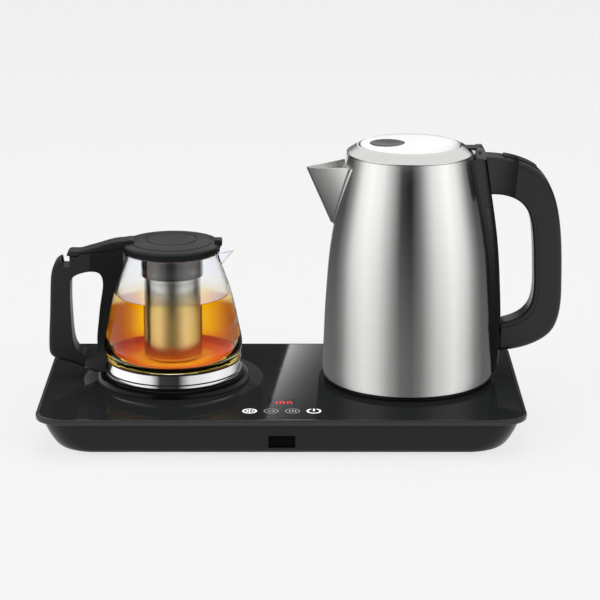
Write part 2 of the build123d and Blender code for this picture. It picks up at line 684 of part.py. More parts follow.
with BuildPart() as warming_plate:
    add(
        turned(
            TX, TY,
            (
                (0, 5.0), (PLATE_R - 1.6, 5.0),
                (PLATE_R - 1.6, -FRAME_H - 1.2), (PLATE_R + 6, -FRAME_H - 1.2),
                (PLATE_R + 6, -FRAME_H), (PLATE_R, -FRAME_H), (PLATE_R, SEAT_TOP - 0.8),
                (PLATE_R - 0.8, SEAT_TOP), (0, SEAT_TOP),
            ),
        )
    )
finish(warming_plate.part, "warming_plate")

with BuildPart() as warming_heater:
    with BuildSketch(Plane(origin=(TX, TY, TRAY_TOP + 5.0 - 3.4), x_dir=(1, 0, 0), z_dir=(0, -1, 0))):
        with Locations((32, 0)):
            Circle(3.4)
    revolve(axis=Axis((TX, TY, 0), (0, 0, 1)))
    with Locations((TX + 32, TY - 5, TRAY_TOP + 1), (TX + 32, TY + 5, TRAY_TOP + 1)):
        Cylinder(1.8, 14, align=(Align.CENTER, Align.CENTER, Align.MAX))
finish(warming_heater.part, "warming_heater")

with BuildPart() as warming_thermostat:
    with Locations(level(TX, TY, -2.0)):
        Cylinder(8, 7, align=(Align.CENTER, Align.CENTER, Align.MIN))
        Box(22, 5, 2, align=(Align.CENTER, Align.CENTER, Align.MIN))
finish(warming_thermostat.part, "warming_thermostat")

with BuildPart() as thermostat_bracket:
    with Locations(level(TX, TY, -3.2)):
        Box(12, 2 * PLATE_R - 4.6, 1.2, align=(Align.CENTER, Align.CENTER, Align.MIN))
finish(thermostat_bracket.part, "thermostat_bracket")

with BuildPart() as cord_gland:
    with BuildSketch(gland_plane(-GLAND_IN)):
        Circle(GLAND_BODY_R)
    extrude(amount=GLAND_IN)
    with BuildSketch(gland_plane(0)):
        Circle(GLAND_R)
    extrude(amount=GLAND_OUT)
    with BuildSketch(gland_plane(-GLAND_IN)):
        Circle(GLAND_BORE)
    extrude(amount=GLAND_IN + GLAND_OUT, mode=Mode.SUBTRACT)
finish(cord_gland.part, "cord_gland")

with BuildPart() as gland_nut:
    with BuildSketch(gland_plane(0.5 - GLAND_IN)):
        RegularPolygon(9, 6)
        Circle(GLAND_BODY_R + GAP_FIT / 2, mode=Mode.SUBTRACT)
    extrude(amount=3.5)
finish(gland_nut.part, "gland_nut")

# ================================================================ kettle body
with BuildPart() as kettle_body:
    add(kettle_core(0))
    inner = [(r - SHELL_T, h) for r, h in KETTLE_OUTER]
    with BuildSketch(side_plane(KX, KY)):
        with BuildLine():
            Spline(*inner)
            Polyline(inner[-1], (0, inner[-1][1]), (0, inner[0][1]), inner[0])
        make_face()
    revolve(axis=Axis((KX, KY, 0), (0, 0, 1)), mode=Mode.SUBTRACT)
    add(beak(3.0), mode=Mode.SUBTRACT)
finish(kettle_body.part, "kettle_body")

with BuildPart() as welded_edge:
    add(kettle_core(FLANGE_T))
    add(kettle_core(0.02), mode=Mode.SUBTRACT)
    add(beak(-FLANGE_W), mode=Mode.INTERSECT)
    with Locations(spout_plane(SPOUT_UP[0], SPOUT_TOP, SPOUT_TILT)):
        Box(
            6 * TOP_R, 6 * TOP_R, TOP_H - SPOUT_TOP + 20,
            align=(Align.CENTER, Align.CENTER, Align.MIN), mode=Mode.SUBTRACT,
        )

with BuildPart() as kettle_spout:
    add(beak(0))
    add(kettle_core(0.02), mode=Mode.SUBTRACT)
    add(welded_edge.part)
    add(beak(SPOUT_T), mode=Mode.SUBTRACT)
finish(kettle_spout.part, "kettle_spout")

with BuildPart() as kettle_filter:
    add(kettle_core(-SHELL_T - 0.1))
    add(kettle_core(-SHELL_T - 1.3), mode=Mode.SUBTRACT)
    add(beak(0.5), mode=Mode.INTERSECT)
    filter_plane = Plane(origin=(KX - 90, KY, TRAY_TOP + FILTER_H), x_dir=(0, -1, 0), z_dir=(1, 0, 0))
    with BuildSketch(filter_plane) as mesh:
        for row in range(11):
            half_row = int((row + 2) * 0.44)
            with Locations((0, -17.5 + 3.4 * row)):
                with GridLocations(3.4, 0, 2 * half_row + 1, 1):
                    Circle(1.1)
    extrude(amount=60, mode=Mode.SUBTRACT)
finish(kettle_filter.part, "kettle_filter")

with BuildPart() as kettle_top_ring:
    add(
        turned(
            KX, KY,
            (
                (TOP_R - 0.5, TOP_H + 0.4), (TOP_R - 0.5, TOP_H + 1.0), (TOP_R - 1.0, TOP_H + 1.6),
                (RING_BORE + 1.5, LEDGE_H + 3.5), (RING_BORE + 0.9, LEDGE_H + 3.8),
                (RING_BORE, LEDGE_H + 3.8), (RING_BORE, LEDGE_H),
                (LEDGE_R, LEDGE_H), (LEDGE_R, LEDGE_H - 1.3), (TOP_R - 4.5, LEDGE_H - 1.3),
                (TOP_R - 3.3, TOP_H + 1.1), (TOP_R - 3.3, TOP_H - 4.0), (TOP_R - 1.9, TOP_H - 4.0),
                (TOP_R - 1.9, TOP_H + 0.4),
            ),
        )
    )
    with Locations(level(KX + HINGE_X - 8, KY, TOP_H - 4.5)):
        Box(24, 2 * KNUCKLE_HALF + 2.4, 14, align=(Align.CENTER, Align.CENTER, Align.MIN), mode=Mode.SUBTRACT)
finish(kettle_top_ring.part, "kettle_top_ring")

with BuildPart() as kettle_hinge_bracket:
    with BuildSketch(side_plane(KX, KY, BRACKET_HALF)):
        with BuildLine():
            Polyline(
                (HINGE_X - 2.6, SPINE_TOP), (HINGE_X - 2.6, HINGE_H - 1.8), (HINGE_X - 3.6, HINGE_H - 0.9),
                (HINGE_X - 3.6, HINGE_H + 1.9), (HINGE_X - 2.0, HINGE_H + 3.4),
                (HINGE_X + 2.8, HINGE_H + 3.4),
                (HINGE_X + 5.6, HINGE_H - 1.3), (HINGE_X + 5.6, SPINE_TOP), close=True,
            )
        make_face()
    extrude(amount=2 * BRACKET_HALF)
    with BuildSketch(side_plane(KX, KY, KNUCKLE_HALF + GAP_BODY)):
        with Locations((HINGE_X - 6, HINGE_H + 6)):
            Rectangle(20, 20.2)
    extrude(amount=2 * (KNUCKLE_HALF + GAP_BODY), mode=Mode.SUBTRACT)
    with BuildSketch(side_plane(KX, KY, BRACKET_HALF)):
        with Locations((HINGE_X, HINGE_H)):
            Circle(PIN_HINGE_R + 0.02)
    extrude(amount=2 * BRACKET_HALF, mode=Mode.SUBTRACT)
finish(kettle_hinge_bracket.part, "kettle_hinge_bracket")

with BuildPart() as kettle_hinge_pin:
    with BuildSketch(side_plane(KX, KY, BRACKET_HALF - 0.2)):
        with Locations((HINGE_X, HINGE_H)):
            Circle(PIN_HINGE_R)
    extrude(amount=2 * (BRACKET_HALF - 0.2))
finish(kettle_hinge_pin.part, "kettle_hinge_pin")

# ---- handle mount and gauge
with BuildPart() as gauge_zone:
    with BuildSketch(level(KX, KY, GAUGE[0])):
        with Locations((70, 0)):
            Rectangle(60, 60)
    extrude(amount=GAUGE[1] - GAUGE[0])
    add(kettle_core(GAUGE_BASE), mode=Mode.SUBTRACT)

with BuildPart() as kettle_handle_mount:
    add(spine(SPINE_HALF, 0))
    fillet(kettle_handle_mount.edges().filter_by(GeomType.BSPLINE), 4.0)
    add(gauge_zone.part, mode=Mode.SUBTRACT)
    add(spine(SPINE_HALF - GAUGE_T - 0.4, GAUGE_T + 0.4))
    add(kettle_core(0.02), mode=Mode.SUBTRACT)
finish(kettle_handle_mount.part, "kettle_handle_mount")

with BuildPart() as kettle_water_gauge:
    add(spine(SPINE_HALF, 0))
    fillet(kettle_water_gauge.edges().filter_by(GeomType.BSPLINE), 4.0)
    add(gauge_zone.part, mode=Mode.INTERSECT)
    add(spine(SPINE_HALF - GAUGE_T, GAUGE_T), mode=Mode.SUBTRACT)
    with Locations(level(KX + 70, KY, GAUGE[0]), level(KX + 70, KY, GAUGE[1])):
        Box(60, 60, 2 * GAP_FIT, mode=Mode.SUBTRACT)
finish(kettle_water_gauge.part, "kettle_water_gauge")

# ---- handle, its cover and the release button
with BuildPart() as kettle_handle:
    add(grip(GRIP_OUTER, between(SEAM_AT), HANDLE_HALF))
    fillet(kettle_handle.edges().filter_by(GeomType.BSPLINE).sort_by(SortBy.LENGTH)[-2:], 4.5)
    fillet(kettle_handle.edges().filter_by(GeomType.BSPLINE).sort_by(SortBy.LENGTH)[:2], 1.0)
    add(spine(SPINE_HALF, 0), mode=Mode.SUBTRACT)
    with BuildSketch(side_plane(KX, KY, BUTTON_HALF + GAP_BODY)):
        with BuildLine():
            Polyline(
                (BUTTON_X[0] - GAP_BODY, POCKET_TOP), (BUTTON_X[1] + GAP_BODY, POCKET_TOP),
                (BUTTON_X[1] + GAP_BODY, BUTTON_BOTTOM - BUTTON_TRAVEL - 0.5),
                (BUTTON_X[0] + 16, BUTTON_BOTTOM - BUTTON_TRAVEL - 0.5), (BUTTON_X[0] + 16, POCKET_FLOOR),
                (BUTTON_X[0] - GAP_BODY, POCKET_FLOOR), close=True,
            )
        make_face()
    extrude(amount=2 * (BUTTON_HALF + GAP_BODY), mode=Mode.SUBTRACT)
    with Locations(level(KX + STEM_X, KY, POCKET_FLOOR)):
        Cylinder(
            STEM_R + RUN, POCKET_FLOOR - STEM_END + BUTTON_TRAVEL + 0.6,
            align=(Align.CENTER, Align.CENTER, Align.MAX), mode=Mode.SUBTRACT,
        )
finish(kettle_handle.part, "kettle_handle")

with BuildPart() as kettle_handle_inner_cover:
    add(grip(between(SEAM_AT), GRIP_INNER, COVER_HALF))
    rims = kettle_handle_inner_cover.edges().filter_by(GeomType.BSPLINE).sort_by(SortBy.LENGTH)[:2]
    fillet(rims, COVER_ROUND)
    add(spine(SPINE_HALF, 0), mode=Mode.SUBTRACT)
finish(kettle_handle_inner_cover.part, "kettle_handle_inner_cover")

raised = [(x, h + BUTTON_UP) for x, h in GRIP_OUTER[:5]]
RIB_PITCH = 3.1
with BuildPart() as kettle_release_button:
    with BuildSketch(side_plane(KX, KY, BUTTON_HALF)):
        with BuildLine():
            Spline(*raised)
            Polyline(raised[-1], (raised[-1][0], 150), (raised[0][0], 150), raised[0])
        make_face()
        with Locations(((BUTTON_X[0] + BUTTON_X[1]) / 2, BUTTON_BOTTOM + 20)):
            Rectangle(BUTTON_X[1] - BUTTON_X[0], 40, mode=Mode.INTERSECT)
    extrude(amount=2 * BUTTON_HALF)
    fillet(kettle_release_button.edges().filter_by(GeomType.BSPLINE), 1.4)
    for rib in range(7):
        rib_h = GRIP_OUTER[0][1] + 1.4 - 0.16 * rib**2 - 0.35 * rib
        with Locations(level(KX + BUTTON_X[0] + 5.5 + RIB_PITCH * rib, KY, rib_h)):
            Box(1.1, 2 * BUTTON_HALF - 3, 1.6, mode=Mode.SUBTRACT)
    with Locations(level(KX + STEM_X, KY, STEM_END)):
        Cylinder(STEM_R, BUTTON_BOTTOM - STEM_END + 1, align=(Align.CENTER, Align.CENTER, Align.MIN))
finish(kettle_release_button.part, "kettle_release_button")

with BuildPart() as kettle_button_spring:
    add(coil(KX + STEM_X, KY, TRAY_TOP + POCKET_FLOOR, TRAY_TOP + BUTTON_BOTTOM, 3.4, 0.35, 3))
finish(kettle_button_spring.part, "kettle_button_spring")

# ---- kettle base
with BuildPart() as kettle_bottom_cover:
    add(
        turned(
            KX, KY,
            (
                (24.6, 3.0), (24.6, 6.0), (72.2, 6.0), (72.2, 12.0), (73.6, 12.0), (73.6, 4.3), (73.2, 3.6),
                (73.2, COVER_FOOT + 0.6), (72.6, COVER_FOOT), (68.0, COVER_FOOT), (67.4, COVER_FOOT + 0.6),
                (67.4, 3.0),
            ),
        )
    )
    with Locations(level(KX, KY, 3.0)):
        with PolarLocations(STUD_RING, 3, start_angle=30):
            Cylinder(SCREW_R + 0.25, 3, align=(Align.CENTER, Align.CENTER, Align.MIN), mode=Mode.SUBTRACT)
            Cylinder(HEAD_R + 0.3, 1.7, align=(Align.CENTER, Align.CENTER, Align.MIN), mode=Mode.SUBTRACT)
finish(kettle_bottom_cover.part, "kettle_bottom_cover")

with BuildPart() as kettle_socket:
    add(
        turned(
            KX, KY,
            (
                (0, 18.2), (24.4, 18.2), (24.4, 8.2), (26.4, 8.2), (26.4, 6.2), (24.4, 6.2), (24.4, 2.6),
                (PLUG_R + PLUG_GAP, 2.6),
                (PLUG_R + PLUG_GAP, SOCKET_CEIL), (RING_OUT, SOCKET_CEIL), (RING_OUT, 4.0), (RING_IN, 4.0),
                (RING_IN, SOCKET_CEIL), (PIN_R, SOCKET_CEIL), (PIN_R, 4.6), (2.2, 3.6), (0, 3.6),
            ),
        )
    )
finish(kettle_socket.part, "kettle_socket")

with BuildPart() as kettle_heating_plate:
    add(turned(KX, KY, ((0, PLATE_H), (74.2, PLATE_H), (74.2, PLATE_H + 9), (73.2, PLATE_H + 9),
                        (73.2, PLATE_H + 1.2), (0, PLATE_H + 1.2))))
    with Locations(level(KX, KY, STUD_LOW)):
        with PolarLocations(STUD_RING, 3, start_angle=30):
            Cylinder(3.6, PLATE_H - STUD_LOW, align=(Align.CENTER, Align.CENTER, Align.MIN))
            Cylinder(SCREW_R + 0.1, 9, align=(Align.CENTER, Align.CENTER, Align.MIN), mode=Mode.SUBTRACT)
finish(kettle_heating_plate.part, "kettle_heating_plate")

with BuildPart() as kettle_heat_spreader:
    with Locations(level(KX, KY, PLATE_H)):
        Cylinder(57, SPREADER_T, align=(Align.CENTER, Align.CENTER, Align.MAX))
finish(kettle_heat_spreader.part, "kettle_heat_spreader")

with BuildPart() as kettle_heating_element:
    with BuildSketch(side_plane(KX, KY)):
        with Locations((ELEMENT_R, ELEMENT_H)):
            Circle(ELEMENT_WIRE)
    revolve(axis=Axis((KX, KY, 0), (0, 0, 1)))
    for side in (-1, 1):
        with Locations(level(KX + ELEMENT_R - 1, KY + 7 * side, ELEMENT_H - 6)):
            Cylinder(2.2, 6, align=(Align.CENTER, Align.CENTER, Align.MIN))
finish(kettle_heating_element.part, "kettle_heating_element")

with BuildPart() as kettle_temperature_sensor:
    with Locations(level(KX - 33, KY, PLATE_H - SPREADER_T)):
        Cylinder(4.5, 7, align=(Align.CENTER, Align.CENTER, Align.MAX))
finish(kettle_temperature_sensor.part, "kettle_temperature_sensor")

with BuildPart() as kettle_bottom_screws:
    with Locations(level(KX, KY, 3.2)):
        with PolarLocations(STUD_RING, 3, start_angle=30):
            Cylinder(HEAD_R - 0.2, 1.5, align=(Align.CENTER, Align.CENTER, Align.MIN))
            Cylinder(SCREW_R, 11, align=(Align.CENTER, Align.CENTER, Align.MIN))
finish(kettle_bottom_screws.part, "kettle_bottom_screws")

# ================================================================ kettle lid
with BuildPart() as kettle_lid:
    with BuildSketch(side_plane(KX, KY)):
        with BuildLine():
            Spline(
                (0, LID_LOW + 3.2), (25, LID_LOW + 2.9), (LID_R - 1.3, LID_LOW + 2.1),
                tangents=((1, 0), (1, -0.12)),
            )
            Polyline(
                (LID_R - 1.3, LID_LOW + 2.1), (LID_R, LID_LOW + 1.2), (LID_R, LID_LOW),
                (LID_R - 1.9, LID_LOW),
                (LID_R - 1.9, LID_LOW + 0.9), (0, LID_LOW + 0.9), (0, LID_LOW + 3.2),
            )
        make_face()
    revolve(axis=Axis((KX, KY, 0), (0, 0, 1)))
    with Locations(level(KX + PAD_X, KY, LID_LOW + 0.8)):
        Cylinder(PAD_R + 0.3, 4, align=(Align.CENTER, Align.CENTER, Align.MIN), mode=Mode.SUBTRACT)
finish(kettle_lid.part, "kettle_lid")

with BuildPart() as kettle_lid_pad:
    with Locations(level(KX + PAD_X, KY, LID_LOW + 0.9)):
        Cylinder(PAD_R, 2.4, align=(Align.CENTER, Align.CENTER, Align.MIN))
    fillet(kettle_lid_pad.faces().sort_by(Axis.Z)[-1].edges(), 0.5)
    with Locations(level(KX + PAD_X, KY, LID_LOW + 3.3 + DISH_R - 1.5)):
        Sphere(DISH_R, mode=Mode.SUBTRACT)
finish(kettle_lid_pad.part, "kettle_lid_pad")

with BuildPart() as kettle_lid_liner:
    add(
        turned(
            KX, KY,
            (
                (0, LID_LOW + 0.8), (LID_R - 2.2, LID_LOW + 0.8), (LID_R - 2.2, LID_LOW - 0.2),
                (LINER_R, LID_LOW - 0.2), (LINER_R, LID_LOW - 10.7), (LINER_R - 1, LID_LOW - 11.7),
                (LINER_R - 2, LID_LOW - 11.7), (LINER_R - 2, LEDGE_H + 0.2), (0, LEDGE_H + 0.2),
            ),
        )
    )
    with BuildSketch(side_plane(KX, KY, KNUCKLE_HALF)):
        Polygon(
            (LINER_R - 0.8, LEDGE_H + 0.5), (LINER_R - 0.8, LID_LOW - 0.2), (HINGE_X - 2, HINGE_H + 3.4),
            (HINGE_X, HINGE_H + 3.4), (HINGE_X, HINGE_H - 0.5), (HINGE_X - 3, HINGE_H + 0.7),
            (HINGE_X - 7, HINGE_H + 1.7), align=None,
        )
        with Locations((HINGE_X, HINGE_H)):
            Circle(KNUCKLE_R)
    extrude(amount=2 * KNUCKLE_HALF)
    with BuildSketch(side_plane(KX, KY, KNUCKLE_HALF)):
        with Locations((HINGE_X, HINGE_H)):
            Circle(PIN_HINGE_R + RUN)
    extrude(amount=2 * KNUCKLE_HALF, mode=Mode.SUBTRACT)
finish(kettle_lid_liner.part, "kettle_lid_liner")

with BuildPart() as kettle_lid_seal:
    add(
        turned(
            KX, KY,
            (
                (LINER_R + 0.1, LEDGE_H + 0.4), (LID_R - 1.1, LEDGE_H + 0.3), (LID_R - 0.4, LEDGE_H + 0.8),
                (LID_R - 1.1, LID_LOW - 0.3), (LINER_R + 0.1, LID_LOW - 0.3),
            ),
        )
    )
    with Locations(level(KX + LINER_R + 1.7, KY, LEDGE_H - 0.8)):
        Box(12, 2 * KNUCKLE_HALF + 0.4, 4, align=(Align.CENTER, Align.CENTER, Align.MIN), mode=Mode.SUBTRACT)
finish(kettle_lid_seal.part, "kettle_lid_seal")

# ================================================================ teapot
def lip(inward, low, high):
    """Solid of the pot's pouring lip."""
    with BuildPart() as body:
        for h, tip, half in ((low, 44.6, 4.0), (high, 55.0, 12.0)):
            with BuildSketch(level(TX, TY, h)) as section:
                with BuildLine():
                    Polyline((34, half + 3), (tip + 2, 0), (34, -half - 3), close=True)
                make_face()
                fillet(section.vertices().sort_by(Axis.X)[-1], 3.0)
                if inward:
                    offset(amount=-inward, mode=Mode.REPLACE)
        loft()
    return body.part


inner = pushed(POT_OUTER, POT_GLASS_T)
inner_wall = [*POT_BOWL, *inner[4:-1], (inner[-1][0], RIM_H)]
with BuildPart() as pot_outside:
    with BuildSketch(side_plane(TX, TY)):
        with BuildLine():
            Spline(*POT_OUTER)
            Polyline(POT_OUTER[-1], (0, RIM_H), (0, POT_OUTER[0][1]), POT_OUTER[0])
        make_face()
    revolve(axis=Axis((TX, TY, 0), (0, 0, 1)))

with BuildPart() as pot_inside:
    with BuildSketch(side_plane(TX, TY)):
        with BuildLine():
            Spline(*inner_wall)
            Polyline(inner_wall[-1], (0, RIM_H), (0, POT_FLOOR), inner_wall[0])
        make_face()
    revolve(axis=Axis((TX, TY, 0), (0, 0, 1)))

with BuildPart() as teapot_glass:
    add(pot_outside.part)
    add(lip(0, LIP_LOW, RIM_H))
    add(pot_inside.part, mode=Mode.SUBTRACT)
    add(lip(1.8, LIP_LOW, RIM_H), mode=Mode.SUBTRACT)
finish(teapot_glass.part, "teapot_glass")

with BuildPart() as pot_clear:
    with BuildSketch(side_plane(TX, TY)):
        with BuildLine():
            Spline(*[(r + 0.25, h) for r, h in POT_OUTER])
            Polyline((POT_OUTER[-1][0] + 0.25, RIM_H), (0, RIM_H), (0, POT_OUTER[0][1]),
                     (POT_OUTER[0][0] + 0.25, POT_OUTER[0][1]))
        make_face()
    revolve(axis=Axis((TX, TY, 0), (0, 0, 1)))

with BuildPart() as teapot_base_band:
    add(
        turned(
            TX, TY,
            (
                (41.0, BAND_LOW), (BAND_R - 0.3, BAND_LOW), (BAND_R, BAND_LOW + 0.4), (BAND_R, 9.6),
                (BAND_R - 0.4, 10.1), (59.5, 10.4), (59.3, 18.3), (60.2, 18.9), (60.4, 19.6),
                (60.1, BAND_TOP), (50.0, BAND_TOP), (50.0, 10.0), (41.0, 8.4),
            ),
        )
    )
    add(pot_clear.part, mode=Mode.SUBTRACT)
finish(teapot_base_band.part, "teapot_base_band")

with BuildPart() as teapot_neck_ring:
    r_in, r_out, low, high = NECK_RING
    add(turned(TX, TY, ((r_in, low), (r_out - 0.6, low), (r_out, low + 0.6), (r_out, high), (r_in, high))))
    with Locations(level(TX + 44, TY, low)):
        Box(14, 16, high - low, align=(Align.CENTER, Align.CENTER, Align.MIN), mode=Mode.SUBTRACT)
finish(teapot_neck_ring.part, "teapot_neck_ring")

with BuildPart() as handle_hole:
    with BuildSketch(side_plane(TX, TY, POT_HANDLE_HALF)):
        with BuildLine():
            Spline(*POT_HOLE, periodic=True)
        make_face()
    extrude(amount=2 * POT_HANDLE_HALF)

with BuildPart() as teapot_handle:
    with BuildSketch(side_plane(TX, TY, POT_HANDLE_HALF)):
        with BuildLine():
            Polyline(*POT_HANDLE_OUTER)
            Spline(*POT_HANDLE_BACK)
            Polyline(POT_HANDLE_BACK[-1], (-36, BAND_LOW), (-36, NECK_RING[3]), POT_HANDLE_OUTER[0])
        make_face()
    extrude(amount=2 * POT_HANDLE_HALF)
    fillet(teapot_handle.edges().filter_by(GeomType.BSPLINE), 3.6)
    add(handle_hole.part, mode=Mode.SUBTRACT)
    add(pot_clear.part, mode=Mode.SUBTRACT)
    with Locations(level(TX, TY, BAND_LOW - 1)):
        Cylinder(BAND_R + 0.05, 15, align=(Align.CENTER, Align.CENTER, Align.MIN), mode=Mode.SUBTRACT)
    with Locations(level(TX, TY, RIM_H - 12)):
        Cylinder(NECK_RING[1] + 0.02, 20, align=(Align.CENTER, Align.CENTER, Align.MIN), mode=Mode.SUBTRACT)
    with BuildSketch(side_plane(TX, TY, POT_HANDLE_HALF)):
        with Locations((POT_PIVOT_X, POT_PIVOT_H)):
            Circle(POT_EAR_R)
    extrude(amount=2 * POT_HANDLE_HALF)
    with BuildSketch(side_plane(TX, TY, POT_KNUCKLE_HALF + GAP_BODY)):
        with Locations(((-98 - 81.4) / 2, POT_PIVOT_H - 4.7 + 10)):
            Rectangle(98 - 81.4, 20)
    extrude(amount=2 * (POT_KNUCKLE_HALF + GAP_BODY), mode=Mode.SUBTRACT)
    with BuildSketch(side_plane(TX, TY, POT_HANDLE_HALF)):
        with Locations((POT_PIVOT_X, POT_PIVOT_H)):
            Circle(PIN_HINGE_R + 0.02)
    extrude(amount=2 * POT_HANDLE_HALF, mode=Mode.SUBTRACT)
finish(teapot_handle.part, "teapot_handle")

with BuildPart() as teapot_hinge_pin:
    with BuildSketch(side_plane(TX, TY, POT_HANDLE_HALF - 0.2)):
        with Locations((POT_PIVOT_X, POT_PIVOT_H)):
            Circle(PIN_HINGE_R)
    extrude(amount=2 * (POT_HANDLE_HALF - 0.2))
finish(teapot_hinge_pin.part, "teapot_hinge_pin")

with BuildPart() as infuser_rim:
    add(
        turned(
            TX, TY,
            (
                (INFUSER_R + 0.2, INFUSER_TOP - 1.4), (INFUSER_BAND_R, INFUSER_TOP),
                (INFUSER_BAND_R, FLANGE_H - 3.7), (31.5, FLANGE_H - 1.3), (38.2, FLANGE_H - 0.2),
                (38.8, FLANGE_H), (41.4, FLANGE_H), (41.4, FLANGE_H + 0.7), (38.0, FLANGE_H + 0.7),
                (31.2, FLANGE_H - 0.6), (INFUSER_BAND_R - INFUSER_T, FLANGE_H - 3.3),
                (INFUSER_BAND_R - INFUSER_T, INFUSER_TOP + 0.5), (INFUSER_R + 0.2, INFUSER_TOP - 0.6),
            ),
        )
    )
    with Locations(level(TX + 44, TY, RIM_H - 2)):
        Box(14, 16, 4, align=(Align.CENTER, Align.CENTER, Align.MIN), mode=Mode.SUBTRACT)
finish(infuser_rim.part, "infuser_rim")

with BuildPart() as infuser_basket:
    add(
        turned(
            TX, TY,
            (
                (0, INFUSER_LOW), (INFUSER_R - 1.5, INFUSER_LOW), (INFUSER_R, INFUSER_LOW + 1.5),
                (INFUSER_R, INFUSER_TOP), (INFUSER_R - INFUSER_T, INFUSER_TOP),
                (INFUSER_R - INFUSER_T, INFUSER_LOW + 1.8),
                (INFUSER_R - 1.8, INFUSER_LOW + INFUSER_T), (0, INFUSER_LOW + INFUSER_T),
            ),
        )
    )
    with Locations(level(TX, TY, INFUSER_LOW)):
        for ring, count in ((6, 6), (12, 12), (18, 18)):
            with PolarLocations(ring, count):
                Cylinder(0.9, INFUSER_T, align=(Align.CENTER, Align.CENTER, Align.MIN), mode=Mode.SUBTRACT)
finish(infuser_basket.part, "infuser_basket")

with BuildPart() as teapot_lid:
    add(
        turned(
            TX, TY,
            (
                *[(r, POT_LID_LOW + up) for r, up in POT_LID_FORM],
                (POT_LID_R, POT_LID_LOW), (38.2, POT_LID_LOW), (38.2, RIM_H + 1.3), (36.2, RIM_H + 1.1),
                (36.2, POT_LID_LOW + 1.2), (0, POT_LID_LOW + 4.7),
            ),
        )
    )
    with Locations(level(TX + POT_LID_R - 2.2, TY, POT_LID_LOW + 1.7)):
        Box(6.4, 11, 5.0, align=(Align.CENTER, Align.CENTER, Align.MIN))
    fillet(teapot_lid.edges().filter_by(Axis.Y).group_by(Axis.Z)[-1], 1.6)
finish(teapot_lid.part, "teapot_lid")

with BuildPart() as teapot_lid_arm:
    with BuildSketch(side_plane(TX, TY, POT_ARM_HALF)):
        with BuildLine():
            Spline(*ARM_TOP)
            Polyline(ARM_TOP[-1], *ARM_LOW, ARM_TOP[0])
        make_face()
    extrude(amount=2 * POT_ARM_HALF)
    fillet(teapot_lid_arm.edges().filter_by(GeomType.BSPLINE), 1.0)
    with BuildSketch(side_plane(TX, TY, POT_KNUCKLE_HALF)):
        with Locations((POT_PIVOT_X, POT_PIVOT_H)):
            Circle(POT_KNUCKLE_R)
        with Locations((POT_PIVOT_X, POT_PIVOT_H + 2.6)):
            Rectangle(2 * POT_KNUCKLE_R, 5.2)
    extrude(amount=2 * POT_KNUCKLE_HALF)
    with BuildSketch(side_plane(TX, TY, POT_KNUCKLE_HALF)):
        with Locations((POT_PIVOT_X, POT_PIVOT_H)):
            Circle(PIN_HINGE_R + RUN)
    extrude(amount=2 * POT_KNUCKLE_HALF, mode=Mode.SUBTRACT)
    add(teapot_lid.part, mode=Mode.SUBTRACT)
finish(teapot_lid_arm.part, "teapot_lid_arm")
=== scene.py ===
"""The finished look of the tea maker: its materials, the tea, the strainer and a small studio.

Metres. X runs to the right, Y to the back and Z up. The origin is the middle of the tray on the table.
"""

import logging
import math
from dataclasses import dataclass
from enum import Enum
from typing import Callable, Dict, Mapping, Optional, Sequence, Tuple, Union

import bpy
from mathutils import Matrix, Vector


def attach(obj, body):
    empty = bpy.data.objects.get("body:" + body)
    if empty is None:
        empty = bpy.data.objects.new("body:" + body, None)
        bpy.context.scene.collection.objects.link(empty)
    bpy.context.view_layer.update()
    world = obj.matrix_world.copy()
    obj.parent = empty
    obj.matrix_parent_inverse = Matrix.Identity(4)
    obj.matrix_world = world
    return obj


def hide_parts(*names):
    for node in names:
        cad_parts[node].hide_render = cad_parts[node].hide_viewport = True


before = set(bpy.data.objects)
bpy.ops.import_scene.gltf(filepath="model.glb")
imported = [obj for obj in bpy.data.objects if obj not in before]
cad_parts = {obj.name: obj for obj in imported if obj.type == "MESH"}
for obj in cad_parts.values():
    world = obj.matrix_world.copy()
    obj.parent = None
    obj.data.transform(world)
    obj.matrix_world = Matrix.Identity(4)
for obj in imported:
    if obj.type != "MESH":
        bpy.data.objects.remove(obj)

LOG = logging.getLogger("tea_maker")
MM = 0.001
GLASS_TOP = 35 * MM
KETTLE_AXIS = (112 * MM, 11 * MM)
TEAPOT_AXIS = (-97 * MM, 11 * MM)
SMOOTH_ANGLE = math.radians(35)

Colour = Tuple[float, float, float]
Stops = Sequence[Tuple[float, Colour]]
Socket = bpy.types.NodeSocket
Feed = Union[float, Tuple[float, ...], Socket]


class Grain(Enum):
    """The way a metal's brush lines run."""

    AROUND = "around the axis, on an upright wall"
    RINGS = "around the axis, on a flat disc"
    UPRIGHT = "straight up"


